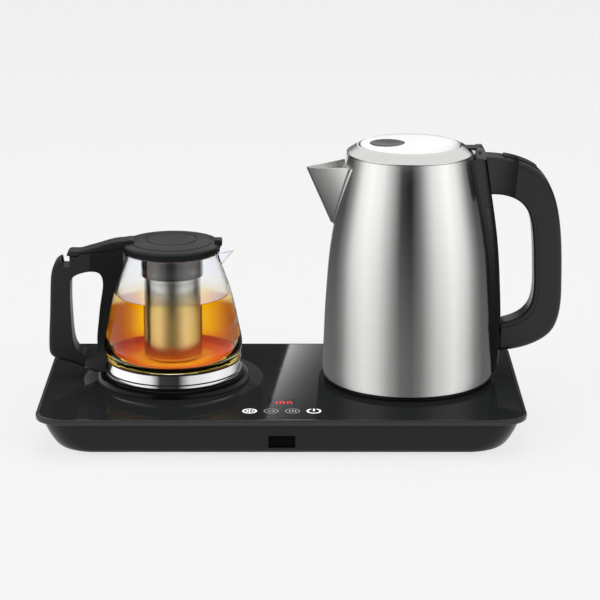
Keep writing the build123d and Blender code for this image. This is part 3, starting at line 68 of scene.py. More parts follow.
# ---------------------------------------------------------------- shader wiring
class Bench:
    """Adds and joins shader nodes in one tree."""

    def __init__(self, tree: bpy.types.NodeTree) -> None:
        """Takes the tree to work on.

        Args:
            tree: A material's, world's or group's node tree.
        """
        self.tree = tree

    def feed(self, socket: Socket, value: Feed) -> None:
        """Links or sets an input.

        Args:
            socket: The input.
            value: An output to link, or a plain value.
        """
        if isinstance(value, bpy.types.NodeSocket):
            self.tree.links.new(value, socket)
        else:
            socket.default_value = value

    def put(self, kind: str, inputs: Optional[Mapping] = None, **settings) -> bpy.types.Node:
        """Adds a node.

        Args:
            kind: The node's type name.
            inputs: Values or outputs, by input name or number.
            **settings: The node's own properties.

        Returns:
            The node.
        """
        node = self.tree.nodes.new(kind)
        for name, value in settings.items():
            setattr(node, name, value)
        for name, value in (inputs or {}).items():
            self.feed(node.inputs[name], value)
        return node

    def maths(self, operation: str, *values: Feed, clamp: bool = False) -> Socket:
        """Works out one number.

        Args:
            operation: The Math node's operation.
            *values: Its inputs in order.
            clamp: Whether the result stays between 0 and 1.

        Returns:
            The result.
        """
        node = self.put("ShaderNodeMath", dict(enumerate(values)), operation=operation, use_clamp=clamp)
        return node.outputs[0]

    def vector_maths(self, operation: str, *values: Feed, output: str = "Vector") -> Socket:
        """Works out one vector, or a number from vectors.

        Args:
            operation: The Vector Math node's operation.
            *values: Its inputs in order.
            output: The output to take.

        Returns:
            The result.
        """
        node = self.put("ShaderNodeVectorMath", dict(enumerate(values)), operation=operation)
        return node.outputs[output]

    def noise(self, vector: Feed, scale: Feed, detail: float = 2.0, roughness: float = 0.5) -> Socket:
        """Cloudy noise from 0 to 1.

        Args:
            vector: Where it is read.
            scale: Features per metre.
            detail: Octaves.
            roughness: How strong the finer octaves are.

        Returns:
            The noise.
        """
        values = {"Vector": vector, "Scale": scale, "Detail": detail, "Roughness": roughness}
        return self.put("ShaderNodeTexNoise", values).outputs["Fac"]

    def ramp(self, factor: Feed, stops: Stops, smooth: bool = False) -> Socket:
        """Colours along a factor.

        Args:
            factor: The place on the ramp.
            stops: Places from 0 to 1 and their colours.
            smooth: Whether the colours ease into each other.

        Returns:
            The colour.
        """
        node = self.put("ShaderNodeValToRGB", {"Fac": factor})
        elements = node.color_ramp.elements
        node.color_ramp.interpolation = "EASE" if smooth else "LINEAR"
        while len(elements) < len(stops):
            elements.new(0.5)
        for element, (place, colour) in zip(elements, stops):
            element.position = place
            element.color = (*colour, 1.0)
        return node.outputs["Color"]

    def span(self, value: Feed, start: float, end: float, low: float = 0.0, high: float = 1.0) -> Socket:
        """Maps one range of numbers onto another, smoothly and without going past it.

        Args:
            value: The number.
            start: Where the range starts.
            end: Where it ends.
            low: The result at the start.
            high: The result at the end.

        Returns:
            The mapped number.
        """
        values = {"Value": value, "From Min": start, "From Max": end, "To Min": low, "To Max": high}
        node = self.put("ShaderNodeMapRange", values, interpolation_type="SMOOTHSTEP")
        return node.outputs["Result"]

    def blend(self, factor: Feed, first: Feed, second: Feed, how: str = "MIX") -> Socket:
        """Mixes two colours.

        Args:
            factor: The share of the second.
            first: A colour.
            second: A colour.
            how: The blend type.

        Returns:
            The mixed colour.
        """
        node = self.put("ShaderNodeMix", {0: factor}, data_type="RGBA", blend_type=how)
        for socket, value in zip((node.inputs[6], node.inputs[7]), (first, second)):
            self.feed(socket, (*value, 1.0) if isinstance(value, tuple) and len(value) == 3 else value)
        return node.outputs[2]

    def bump(self, height: Socket, distance: float, strength: float = 1.0) -> Socket:
        """Turns a height into a surface normal.

        Args:
            height: The height, from 0 to 1.
            distance: What a height of 1 stands for, in metres.
            strength: The share of it that shows.

        Returns:
            The normal.
        """
        values = {"Height": height, "Distance": distance, "Strength": strength}
        return self.put("ShaderNodeBump", values).outputs["Normal"]

    def skin(self, sheet: bpy.types.Node, values: Mapping[str, Feed]) -> None:
        """Joins a Principled surface to a material's output.

        Args:
            sheet: The output node.
            values: The surface's inputs by name.
        """
        made = self.put("ShaderNodeBsdfPrincipled", values)
        self.feed(sheet.inputs["Surface"], made.outputs["BSDF"])

    def own(self) -> Socket:
        """The piece's own coordinates, in metres."""
        return self.put("ShaderNodeTexCoord").outputs["Object"]

    def group(self, tree: bpy.types.NodeTree, **values: Feed) -> bpy.types.Node:
        """Places a shared effect.

        Args:
            tree: The effect's node group.
            **values: Its inputs, with spaces in their names written as underscores.

        Returns:
            The group node.
        """
        node = self.put("ShaderNodeGroup", node_tree=tree)
        for name, value in values.items():
            self.feed(node.inputs[name.replace("_", " ")], value)
        return node


class Effect:
    """A shader node group that several materials share."""

    made: Dict[str, bpy.types.NodeTree] = {}

    @classmethod
    def tree(
        cls,
        name: str,
        inputs: Sequence[Tuple[str, str, Feed]],
        outputs: Sequence[Tuple[str, str]],
        wire: Callable[[Bench, Mapping[str, Socket]], Mapping[str, Socket]],
    ) -> bpy.types.NodeTree:
        """Builds the group once and gives it again later.

        Args:
            name: The group's name.
            inputs: Socket name, kind and default of each input.
            outputs: Socket name and kind of each output.
            wire: Builds the nodes from the inputs and gives the outputs by name.

        Returns:
            The group's tree.
        """
        if name in cls.made:
            return cls.made[name]
        tree = bpy.data.node_groups.new(name, "ShaderNodeTree")
        for label, kind, value in inputs:
            socket = tree.interface.new_socket(label, in_out="INPUT", socket_type="NodeSocket" + kind)
            if kind != "Vector":
                socket.default_value = value
        for label, kind in outputs:
            tree.interface.new_socket(label, in_out="OUTPUT", socket_type="NodeSocket" + kind)
        bench = Bench(tree)
        start = bench.put("NodeGroupInput")
        end = bench.put("NodeGroupOutput")
        for label, socket in wire(bench, {s.name: s for s in start.outputs if s.name}).items():
            tree.links.new(socket, end.inputs[label])
        cls.made[name] = tree
        return tree

    @classmethod
    def moulded_grain(cls) -> bpy.types.NodeTree:
        """Fine pits of a moulded surface, with slow patches of shine: outputs Height and Patch."""

        def wire(bench: Bench, given: Mapping[str, Socket]) -> Mapping[str, Socket]:
            """Adds the nodes."""
            pits = bench.put("ShaderNodeTexVoronoi", {"Vector": given["Vector"], "Scale": given["Scale"]})
            fine = bench.noise(given["Vector"], given["Scale"], 3.0)
            patch = bench.noise(given["Vector"], 38.0, 4.0, 0.6)
            height = bench.maths("MULTIPLY_ADD", pits.outputs["Distance"], 0.6, fine)
            return {"Height": height, "Patch": patch}

        return cls.tree(
            "moulded_grain",
            (("Vector", "Vector", 0.0), ("Scale", "Float", 2500.0)),
            (("Height", "Float"), ("Patch", "Float")),
            wire,
        )

    @classmethod
    def worn_edge(cls) -> bpy.types.NodeTree:
        """Where an outer edge has been rubbed: outputs Mask."""

        def wire(bench: Bench, given: Mapping[str, Socket]) -> Mapping[str, Socket]:
            """Adds the nodes."""
            rounded = bench.put("ShaderNodeBevel", {"Radius": given["Radius"]}, samples=4)
            plain = bench.put("ShaderNodeNewGeometry").outputs["Normal"]
            same = bench.vector_maths("DOT_PRODUCT", rounded.outputs["Normal"], plain, output="Value")
            turned = bench.span(same, 0.99, 0.80)
            speck = bench.span(bench.noise(given["Vector"], 420.0, 4.0, 0.65), 0.35, 0.7)
            return {"Mask": bench.maths("MULTIPLY", bench.maths("MULTIPLY", turned, speck), given["Amount"])}

        return cls.tree(
            "worn_edge",
            (("Vector", "Vector", 0.0), ("Radius", "Float", 0.0005), ("Amount", "Float", 0.5)),
            (("Mask", "Float"),),
            wire,
        )

    @classmethod
    def handled(cls) -> bpy.types.NodeTree:
        """Faint smears left by wiping and fingers: outputs Mask."""

        def wire(bench: Bench, given: Mapping[str, Socket]) -> Mapping[str, Socket]:
            """Adds the nodes."""
            stretched = bench.put("ShaderNodeMapping", {"Vector": given["Vector"], "Scale": (1.0, 3.5, 2.0)})
            wipe = bench.noise(stretched.outputs["Vector"], 14.0, 5.0, 0.62)
            spots = bench.noise(given["Vector"], 160.0, 2.0, 0.5)
            wiped = bench.span(wipe, 0.48, 0.75)
            marks = bench.maths("MULTIPLY", wiped, bench.span(spots, 0.3, 0.7, 0.5, 1.0))
            return {"Mask": bench.maths("MULTIPLY", marks, given["Amount"])}

        return cls.tree(
            "handled",
            (("Vector", "Vector", 0.0), ("Amount", "Float", 0.5)),
            (("Mask", "Float"),),
            wire,
        )

    @classmethod
    def around_axis(cls) -> bpy.types.NodeTree:
        """Coordinates of a turned piece: outputs Turn, the way round in radians, Radius and Height."""

        def wire(bench: Bench, given: Mapping[str, Socket]) -> Mapping[str, Socket]:
            """Adds the nodes."""
            place = bench.vector_maths("SUBTRACT", given["Vector"], given["Centre"])
            parts = bench.put("ShaderNodeSeparateXYZ", {0: place}).outputs
            turn = bench.maths("ARCTAN2", parts["X"], bench.maths("MULTIPLY", parts["Y"], -1.0))
            square = bench.maths("ADD", *(bench.maths("POWER", parts[way], 2.0) for way in "XY"))
            return {"Turn": turn, "Radius": bench.maths("SQRT", square), "Height": parts["Z"]}

        return cls.tree(
            "around_axis",
            (("Vector", "Vector", 0.0), ("Centre", "Vector", 0.0)),
            (("Turn", "Float"), ("Radius", "Float"), ("Height", "Float")),
            wire,
        )

    @classmethod
    def brush_lines(cls) -> bpy.types.NodeTree:
        """Fine lines of a brushed metal: outputs Height and Tone."""

        def wire(bench: Bench, given: Mapping[str, Socket]) -> Mapping[str, Socket]:
            """Adds the nodes."""
            strands = []
            for across, along, detail, roughness in ((5200.0, 3.0, 3.0, 0.6), (1300.0, 1.2, 2.0, 0.5)):
                place = {
                    "X": bench.maths("MULTIPLY", given["Across"], across),
                    "Y": bench.maths("MULTIPLY", given["Along"], along),
                }
                line = bench.put("ShaderNodeCombineXYZ", place)
                strands.append(bench.noise(line.outputs[0], 1.0, detail, roughness))
            fine, coarse = strands
            share = bench.maths("MULTIPLY", coarse, 0.4)
            tone = bench.maths("ADD", bench.maths("MULTIPLY", fine, 0.6), share)
            return {"Height": fine, "Tone": tone}

        return cls.tree(
            "brush_lines",
            (("Across", "Float", 0.0), ("Along", "Float", 0.0)),
            (("Height", "Float"), ("Tone", "Float")),
            wire,
        )


# ---------------------------------------------------------------- finishes
@dataclass(frozen=True)
class Finish:
    """A material that is made when a piece first asks for it."""

    name: str

    def material(self) -> bpy.types.Material:
        """Gives the finish's material, built on the first call."""
        known = bpy.data.materials.get("finish_" + self.name)
        if known is not None:
            return known
        made = bpy.data.materials.new("finish_" + self.name)
        made.use_nodes = True
        made.node_tree.nodes.clear()
        bench = Bench(made.node_tree)
        sheet = bench.put("ShaderNodeOutputMaterial")
        self.wire(bench, sheet)
        return made

    def wire(self, bench: Bench, sheet: bpy.types.Node) -> None:
        """Builds the nodes behind the output.

        Args:
            bench: The material's nodes.
            sheet: Its output node.
        """
        raise NotImplementedError

    def dress(self, *nodes: str) -> None:
        """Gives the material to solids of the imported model.

        Args:
            *nodes: Their names.
        """
        for node in nodes:
            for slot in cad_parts[node].material_slots:
                slot.material = self.material()


@dataclass(frozen=True)
class Moulding(Finish):
    """Moulded plastic or rubber."""

    colour: Colour = (0.012, 0.012, 0.013)
    roughness: float = 0.42
    shine: float = 0.25
    pit_size: float = 0.45 * MM
    pit_depth: float = 0.012 * MM
    wear: float = 0.35
    smears: float = 0.2

    def wire(self, bench: Bench, sheet: bpy.types.Node) -> None:
        """Builds the nodes behind the output."""
        here = bench.own()
        grain = bench.group(Effect.moulded_grain(), Vector=here, Scale=1.0 / self.pit_size)
        edge = bench.group(Effect.worn_edge(), Vector=here, Radius=0.5 * MM, Amount=self.wear)
        smear = bench.group(Effect.handled(), Vector=here, Amount=self.smears)
        deep = tuple(0.85 * c for c in self.colour)
        pale = tuple(1.18 * c + 0.001 for c in self.colour)
        worn = tuple(1.6 * c + 0.02 for c in self.colour)
        body = bench.blend(grain.outputs["Patch"], deep, pale)
        shade = bench.blend(edge.outputs["Mask"], body, worn)
        rough = bench.span(grain.outputs["Patch"], 0.3, 0.7, self.roughness * 0.93, self.roughness * 1.07)
        rough = bench.maths("ADD", rough, bench.maths("MULTIPLY", smear.outputs["Mask"], 0.08), clamp=True)
        bench.skin(sheet, {
            "Base Color": shade,
            "Roughness": rough,
            "Specular IOR Level": self.shine,
            "Normal": bench.bump(grain.outputs["Height"], self.pit_depth),
        })


@dataclass(frozen=True)
class GlossPanel(Finish):
    """Polished black glass or lacquer with faint wipe marks."""

    colour: Colour = (0.006, 0.006, 0.007)
    roughness: float = 0.05
    shine: float = 0.5
    smears: float = 0.5
    wear: float = 0.0

    def wire(self, bench: Bench, sheet: bpy.types.Node) -> None:
        """Builds the nodes behind the output."""
        here = bench.own()
        smear = bench.group(Effect.handled(), Vector=here, Amount=self.smears)
        edge = bench.group(Effect.worn_edge(), Vector=here, Radius=0.4 * MM, Amount=self.wear)
        haze = bench.noise(here, 900.0, 2.0)
        tone = bench.blend(haze, self.colour, tuple(1.25 * c for c in self.colour))
        tone = bench.blend(edge.outputs["Mask"], tone, (0.05, 0.05, 0.05))
        rough = bench.maths("MULTIPLY_ADD", smear.outputs["Mask"], 0.06, self.roughness)
        bench.skin(sheet, {
            "Base Color": tone,
            "Roughness": rough,
            "Specular IOR Level": self.shine,
            "Normal": bench.bump(bench.noise(here, 60.0, 1.0), 0.01 * MM, 0.4),
        })


@dataclass(frozen=True)
class BrushedMetal(Finish):
    """Metal with brush lines, or polished where they are faint."""

    axis: Tuple[float, float] = KETTLE_AXIS
    lines: Grain = Grain.AROUND
    colour: Colour = (0.80, 0.795, 0.78)
    roughness: float = 0.26
    stretch: float = 0.4
    depth: float = 0.001 * MM
    contrast: float = 0.05

    def wire(self, bench: Bench, sheet: bpy.types.Node) -> None:
        """Builds the nodes behind the output."""
        here = bench.own()
        turned = bench.group(Effect.around_axis(), Vector=here, Centre=(*self.axis, 0.0)).outputs
        across, along = {
            Grain.AROUND: (turned["Height"], turned["Turn"]),
            Grain.RINGS: (turned["Radius"], turned["Turn"]),
            Grain.UPRIGHT: (bench.maths("MULTIPLY", turned["Turn"], 0.06), turned["Height"]),
        }[self.lines]
        brush = bench.group(Effect.brush_lines(), Across=across, Along=along).outputs
        smear = bench.group(Effect.handled(), Vector=here, Amount=0.5).outputs["Mask"]
        dark = tuple(c * (1.0 - self.contrast) for c in self.colour)
        light = tuple(min(1.0, c * (1.0 + 0.5 * self.contrast)) for c in self.colour)
        tone = bench.blend(bench.span(brush["Tone"], 0.3, 0.7), dark, light)
        rough = bench.span(brush["Tone"], 0.3, 0.7, self.roughness * 0.9, self.roughness * 1.1)
        rough = bench.maths("MULTIPLY_ADD", smear, 0.05, rough)
        values = {
            "Base Color": tone,
            "Metallic": 1.0,
            "Roughness": rough,
            "Normal": bench.bump(brush["Height"], self.depth),
        }
        if self.stretch:
            values["Anisotropic"] = self.stretch
            values["Anisotropic Rotation"] = 0.25
            tangent = bench.put("ShaderNodeTangent", direction_type="RADIAL", axis="Z")
            values["Tangent"] = tangent.outputs["Tangent"]
        bench.skin(sheet, values)


@dataclass(frozen=True)
class CastMetal(Finish):
    """Small inner metal parts: plated, cast or turned."""

    colour: Colour = (0.70, 0.70, 0.68)
    roughness: float = 0.35
    spot_size: float = 0.8 * MM

    def wire(self, bench: Bench, sheet: bpy.types.Node) -> None:
        """Builds the nodes behind the output."""
        here = bench.own()
        cloud = bench.noise(here, 1.0 / self.spot_size, 4.0, 0.6)
        stain = bench.noise(here, 90.0, 3.0, 0.6)
        tone = bench.blend(bench.span(stain, 0.35, 0.7), self.colour, tuple(0.72 * c for c in self.colour))
        rough = bench.span(cloud, 0.3, 0.7, self.roughness * 0.8, self.roughness * 1.25)
        bump = bench.bump(cloud, 0.02 * MM, 0.8)
        bench.skin(sheet, {"Base Color": tone, "Metallic": 1.0, "Roughness": rough, "Normal": bump})


@dataclass(frozen=True)
class ClearGlass(Finish):
    """Glass or liquid that lets lamps through, tinted through its depth."""

    tint: Colour = (1.0, 1.0, 1.0)
    index: float = 1.47
    roughness: float = 0.0
    stain: Colour = (1.0, 1.0, 1.0)
    density: float = 0.0

    def wire(self, bench: Bench, sheet: bpy.types.Node) -> None:
        """Builds the nodes behind the output."""
        here = bench.own()
        film = bench.noise(here, 25.0, 3.0, 0.55)
        tone = bench.blend(bench.span(film, 0.45, 0.8), self.tint, tuple(0.985 * c for c in self.tint))
        glass = bench.put(
            "ShaderNodeBsdfPrincipled",
            {
                "Base Color": tone,
                "Roughness": self.roughness,
                "IOR": self.index,
                "Transmission Weight": 1.0,
                "Normal": bench.bump(bench.noise(here, 18.0, 1.0), 0.03 * MM, 0.6),
            },
        )
        clear = bench.put("ShaderNodeBsdfTransparent", {"Color": (*self.tint, 1.0)})
        path = bench.put("ShaderNodeLightPath").outputs
        shadow = bench.put(
            "ShaderNodeMixShader",
            {0: path["Is Shadow Ray"], 1: glass.outputs["BSDF"], 2: clear.outputs["BSDF"]},
        )
        bench.feed(sheet.inputs["Surface"], shadow.outputs["Shader"])
        if self.density:
            values = {"Color": (*self.stain, 1.0), "Density": self.density}
            depth = bench.put("ShaderNodeVolumeAbsorption", values)
            bench.feed(sheet.inputs["Volume"], depth.outputs["Volume"])


@dataclass(frozen=True)
class GlowingInk(Finish):
    """Printed or moulded shapes lit from below."""

    colour: Colour = (1.0, 1.0, 1.0)
    strength: float = 1.0

    def wire(self, bench: Bench, sheet: bpy.types.Node) -> None:
        """Builds the nodes behind the output."""
        here = bench.own()
        cloud = bench.span(bench.noise(here, 700.0, 2.0), 0.25, 0.75, 0.86, 1.0)
        glow = bench.blend(1.0, self.colour, cloud, "MULTIPLY")
        bench.skin(sheet, {
            "Base Color": bench.blend(0.5, self.colour, (0.3, 0.3, 0.3), "MULTIPLY"),
            "Roughness": 0.35,
            "Emission Color": glow,
            "Emission Strength": self.strength,
        })


@dataclass(frozen=True)
class TeaGlowSheet(Finish):
    """A sheet on the floor of the pot in painted light: orange for the lit tea's glow, redder towards the
    wall, with a painted dark line.
    """

    middle: Colour = (1.0, 0.56, 0.12)
    slope: Colour = (0.88, 0.22, 0.06)
    painted_dark_line: Colour = (0.62, 0.11, 0.04)
    wall: Colour = (1.0, 0.32, 0.06)

    def wire(self, bench: Bench, sheet: bpy.types.Node) -> None:
        """Builds the nodes behind the output."""
        here = bench.own()
        radius = bench.group(Effect.around_axis(), Vector=here, Centre=(*TEAPOT_AXIS, 0.0)).outputs["Radius"]
        stretched = bench.put("ShaderNodeMapping", {"Vector": here, "Scale": (1.0, 4.0, 1.0)})
        cloud = bench.noise(stretched.outputs["Vector"], 45.0, 3.0, 0.6)
        waver = bench.maths("SUBTRACT", cloud, 0.5)
        place = bench.maths("MULTIPLY_ADD", waver, 0.16, bench.maths("MULTIPLY", radius, 16.0))
        # Painted light: these stops paint the glow of the lit tea, and the dark red one paints a dark line
        # near the wall.
        stops = ((0.45, self.middle), (0.66, self.slope), (0.80, self.painted_dark_line), (0.92, self.wall))
        rough = bench.span(cloud, 0.3, 0.7, 0.55, 0.75)
        tone = bench.ramp(place, stops, smooth=True)
        bench.skin(sheet, {"Base Color": tone, "Roughness": rough, "Specular IOR Level": 0.1})


@dataclass(frozen=True)
class CircuitBoard(Finish):
    """Green board with copper tracks under its lacquer."""

    green: Colour = (0.012, 0.10, 0.035)
    track: Colour = (0.03, 0.19, 0.07)
    pad: Colour = (0.62, 0.60, 0.52)

    def wire(self, bench: Bench, sheet: bpy.types.Node) -> None:
        """Builds the nodes behind the output."""
        here = bench.own()
        cells = bench.put("ShaderNodeTexVoronoi", {"Vector": here, "Scale": 230.0}, distance="MANHATTAN")
        brick = {"Vector": here, "Scale": 260.0, "Mortar Size": 0.035}
        tracks = bench.put("ShaderNodeTexBrick", brick).outputs["Fac"]
        pads = bench.maths("LESS_THAN", cells.outputs["Distance"], 0.16)
        tone = bench.blend(tracks, self.green, self.track)
        tone = bench.blend(pads, tone, self.pad)
        bench.skin(sheet, {
            "Base Color": tone,
            "Metallic": pads,
            "Roughness": bench.span(cells.outputs["Distance"], 0.0, 0.5, 0.25, 0.4),
            "Normal": bench.bump(tracks, 0.03 * MM),
        })


HOUSING_BLACK = Moulding("housing_black", colour=(0.004, 0.0045, 0.0045), roughness=0.28, shine=0.27)
HANDLE_BLACK = Moulding(
    "handle_black", colour=(0.006, 0.007, 0.007), roughness=0.33, shine=0.4, pit_depth=0.005 * MM
)
LID_BLACK = Moulding("teapot_black", colour=(0.010, 0.0115, 0.011), roughness=0.40, pit_depth=0.008 * MM)
COVER_BLACK = Moulding("base_black", colour=(0.006, 0.006, 0.006), roughness=0.5)
BUTTON_BLACK = Moulding("button_black", colour=(0.010, 0.010, 0.010), roughness=0.55, pit_size=0.3 * MM)
FOOT_RUBBER = Moulding("foot_rubber", colour=(0.02, 0.02, 0.02), roughness=0.8, pit_depth=0.03 * MM, wear=0.6)
LID_SEAL = Moulding("lid_seal", colour=(0.55, 0.55, 0.53), roughness=0.5, pit_depth=0.004 * MM)
PAD_GREY = Moulding("pad_grey", colour=(0.030, 0.031, 0.033), roughness=0.42, pit_depth=0.006 * MM)
HINGE_GREY = Moulding("hinge_grey", colour=(0.085, 0.088, 0.092), roughness=0.40, pit_depth=0.008 * MM)
RELAY_BLUE = Moulding("relay_blue", colour=(0.02, 0.09, 0.42), roughness=0.3, pit_depth=0.004 * MM)
FERRITE_GREY = Moulding("ferrite_grey", colour=(0.03, 0.03, 0.032), roughness=0.7, pit_depth=0.03 * MM)
CERAMIC_WHITE = Moulding("ceramic_white", colour=(0.72, 0.70, 0.66), roughness=0.55, pit_depth=0.01 * MM)
CAN_SLEEVE = Moulding("can_sleeve", colour=(0.03, 0.05, 0.10), roughness=0.25, pit_depth=0.002 * MM)
FRAME_BLACK = GlossPanel("frame_black", colour=(0.010, 0.010, 0.011), roughness=0.16, wear=0.3)
GLASS_BLACK = GlossPanel("glass_black", colour=(0.013, 0.0145, 0.014), roughness=0.03, shine=0.05)
SEAT_BLACK = GlossPanel("seat_black", colour=(0.003, 0.003, 0.003), roughness=0.07, shine=0.16, smears=0.2)
WINDOW_BLACK = GlossPanel("window_black", colour=(0.0015, 0.0015, 0.0018), roughness=0.10, shine=0.03)
GAUGE_BLACK = GlossPanel("gauge_black", colour=(0.006, 0.006, 0.006), roughness=0.06)
BODY_STEEL = BrushedMetal("body_steel", roughness=0.20, stretch=0.6, contrast=0.03)
SPOUT_STEEL = BrushedMetal("spout_steel", roughness=0.27, stretch=0.0, contrast=0.06)
RING_STEEL = BrushedMetal("ring_steel", lines=Grain.RINGS, roughness=0.30, stretch=0.3)
LID_STEEL = BrushedMetal("lid_steel", lines=Grain.RINGS, roughness=0.24, stretch=0.3)
PLATE_STEEL = BrushedMetal("plate_steel", lines=Grain.RINGS, roughness=0.2, stretch=0.0)
BAND_STEEL = BrushedMetal(
    "band_steel", axis=TEAPOT_AXIS, colour=(0.83, 0.83, 0.82), roughness=0.10, stretch=0.0, contrast=0.03
)
STRAINER_STEEL = BrushedMetal(
    "strainer_steel", axis=TEAPOT_AXIS, lines=Grain.UPRIGHT, roughness=0.24, stretch=0.0, contrast=0.06
)
FILTER_STEEL = BrushedMetal("filter_steel", roughness=0.25, stretch=0.0)
WARMER_STEEL = BrushedMetal("warmer_steel", axis=TEAPOT_AXIS, lines=Grain.RINGS, roughness=0.18, stretch=0.0)
ZINC = CastMetal("zinc", colour=(0.60, 0.61, 0.62), roughness=0.3)
PIN_BLACK = CastMetal("pin_black", colour=(0.035, 0.036, 0.038), roughness=0.4)
BRASS = CastMetal("brass", colour=(0.78, 0.58, 0.26), roughness=0.28)
ALUMINIUM = CastMetal("aluminium", colour=(0.74, 0.75, 0.76), roughness=0.42)
POT_GLASS = ClearGlass("pot_glass", tint=(0.985, 0.992, 0.99), index=1.22)
TEA_LIQUID = ClearGlass("tea_liquid", index=1.04, stain=(0.94, 0.72, 0.02), density=25.0)
TEA_FILM = ClearGlass("tea_film", index=1.8)
TEA_GLOW_SHEET = TeaGlowSheet("tea_bed")
LEAF_BROWN = Moulding(
    "leaf_brown", colour=(0.030, 0.014, 0.006), roughness=0.7, pit_size=1.6 * MM, pit_depth=0.5 * MM
)
LENS_SMOKE = ClearGlass("lens_smoke", tint=(0.26, 0.05, 0.06), index=1.15, roughness=0.03)
RED_GLOW = GlowingInk("red_glow", colour=(1.0, 0.02, 0.05), strength=3.0)
WHITE_GLOW = GlowingInk("white_glow", colour=(1.0, 1.0, 1.0), strength=0.85)
DIM_INK = GlowingInk("dim_ink", colour=(0.55, 0.55, 0.55), strength=0.16)
BOARD_GREEN = CircuitBoard("board_green")


# ---------------------------------------------------------------- shaping by hand
class Shaping:
    """Meshes made with Blender's own tools."""

    @staticmethod
    def fresh() -> None:
        """Leaves nothing selected, outside edit mode."""
        if bpy.context.object is not None and bpy.context.object.mode != "OBJECT":
            bpy.ops.object.mode_set(mode="OBJECT")
        bpy.ops.object.select_all(action="DESELECT")

    @staticmethod
    def settle(name: str) -> bpy.types.Object:
        """Names the active piece and puts its place into its mesh.

        Args:
            name: The piece's name.

        Returns:
            The piece.
        """
        piece = bpy.context.object
        piece.name = name
        piece.data.name = name
        bpy.ops.object.transform_apply(location=True, rotation=True, scale=True)
        return piece

    @staticmethod
    def start_ring(
        axis: Tuple[float, float], radius: float, height: float, sides: int = 96, fill: str = "NOTHING"
    ) -> None:
        """Adds a level ring and leaves it selected in edit mode.

        Args:
            axis: X and Y of its middle.
            radius: Its radius.
            height: Its Z.
            sides: Its edges.
            fill: Whether a face fills it.
        """
        Shaping.fresh()
        bpy.ops.mesh.primitive_circle_add(
            vertices=sides, radius=radius, fill_type=fill, location=(*axis, height)
        )
        bpy.ops.object.mode_set(mode="EDIT")
        bpy.ops.mesh.select_all(action="SELECT")

    @staticmethod
    def draw_up(axis: Tuple[float, float], height: float, rise: float, share: float = 1.0) -> None:
        """Extrudes what is selected upwards and widens its new edge.

        Args:
            axis: X and Y of the middle.
            height: Z of the new edge.
            rise: How far it goes up.
            share: How much wider it gets.
        """
        bpy.ops.mesh.extrude_region_move(TRANSFORM_OT_translate={"value": (0.0, 0.0, rise)})
        if share != 1.0:
            bpy.ops.transform.resize(value=(share, share, 1.0), center_override=(*axis, height))

    @staticmethod
    def lathe(
        name: str, axis: Tuple[float, float], rings: Sequence[Tuple[float, float]], sides: int
    ) -> bpy.types.Object:
        """Turns a closed solid: a disc that is drawn up ring by ring.

        Args:
            name: The piece's name.
            axis: X and Y of the axis.
            rings: Radius and Z of each ring, from the first cap to the last.
            sides: Faces round the axis.

        Returns:
            The piece, smooth and closed.
        """
        radius, height = rings[0]
        Shaping.start_ring(axis, radius, height, sides, "NGON")
        for wide, high in rings[1:]:
            Shaping.draw_up(axis, high, high - height, wide / radius)
            radius, height = wide, high
        bpy.ops.mesh.select_all(action="SELECT")
        bpy.ops.mesh.remove_doubles(threshold=1e-6)
        bpy.ops.mesh.normals_make_consistent(inside=False)
        bpy.ops.object.mode_set(mode="OBJECT")
        piece = Shaping.settle(name)
        bpy.ops.object.shade_smooth_by_angle(angle=SMOOTH_ANGLE)
        return piece

    @staticmethod
    def paint(piece: bpy.types.Object, finish: Finish) -> None:
        """Gives a new piece its material.

        Args:
            piece: The piece.
            finish: Its finish.
        """
        piece.data.materials.clear()
        piece.data.materials.append(finish.material())


# ---------------------------------------------------------------- what each solid is dressed in
@dataclass
class Assembly:
    """One part of the object, with the finish of each of its solids."""

    name: str
    outfits: Sequence[Tuple[Finish, Sequence[str]]]

    def dress(self) -> None:
        """Gives every solid its finish."""
        for finish, nodes in self.outfits:
            finish.dress(*nodes)
        LOG.info("%s dressed", self.name)


TRAY = Assembly("tray", (
    (HOUSING_BLACK, ("base_lower_housing", "cord_gland", "gland_nut", "connector_nut")),
    (FRAME_BLACK, ("base_top_frame",)),
    (GLASS_BLACK, ("glass_top_panel",)),
    (WINDOW_BLACK, ("front_window",)),
    (FOOT_RUBBER, ("rubber_feet",)),
    (ZINC, ("housing_screws", "thermostat_bracket")),
    (COVER_BLACK, ("kettle_connector_post",)),
    (BRASS, ("connector_contacts",)),
    (SEAT_BLACK, ("teapot_seat_ring",)),
    (WARMER_STEEL, ("warming_plate",)),
    (ALUMINIUM, ("warming_heater",)),
    (CERAMIC_WHITE, ("warming_thermostat",)),
))
ELECTRONICS = Assembly("electronics", (
    (BOARD_GREEN, ("control_board", "power_board")),
    (COVER_BLACK, ("display_module",)),
    (LENS_SMOKE, ("display_lens",)),
    (RED_GLOW, ("display_digits",)),
    (WHITE_GLOW, ("touch_icons_lit",)),
    (DIM_INK, ("touch_icons_dim",)),
    (ZINC, ("touch_springs",)),
    (RELAY_BLUE, ("power_relays",)),
    (FERRITE_GREY, ("power_transformer",)),
    (CAN_SLEEVE, ("power_capacitors",)),
))
KETTLE = Assembly("kettle", (
    (BODY_STEEL, ("kettle_body",)),
    (SPOUT_STEEL, ("kettle_spout",)),
    (RING_STEEL, ("kettle_top_ring",)),
    (FILTER_STEEL, ("kettle_filter",)),
    (HINGE_GREY, ("kettle_hinge_bracket",)),
    (PIN_BLACK, ("kettle_hinge_pin",)),
    (ZINC, ("kettle_button_spring", "kettle_bottom_screws")),
    (HANDLE_BLACK, ("kettle_handle_mount", "kettle_handle", "kettle_handle_inner_cover")),
    (COVER_BLACK, ("kettle_bottom_cover", "kettle_socket")),
    (GAUGE_BLACK, ("kettle_water_gauge",)),
    (PLATE_STEEL, ("kettle_heating_plate",)),
    (ALUMINIUM, ("kettle_heat_spreader", "kettle_heating_element")),
    (BRASS, ("kettle_temperature_sensor",)),
    (BUTTON_BLACK, ("kettle_release_button",)),
))
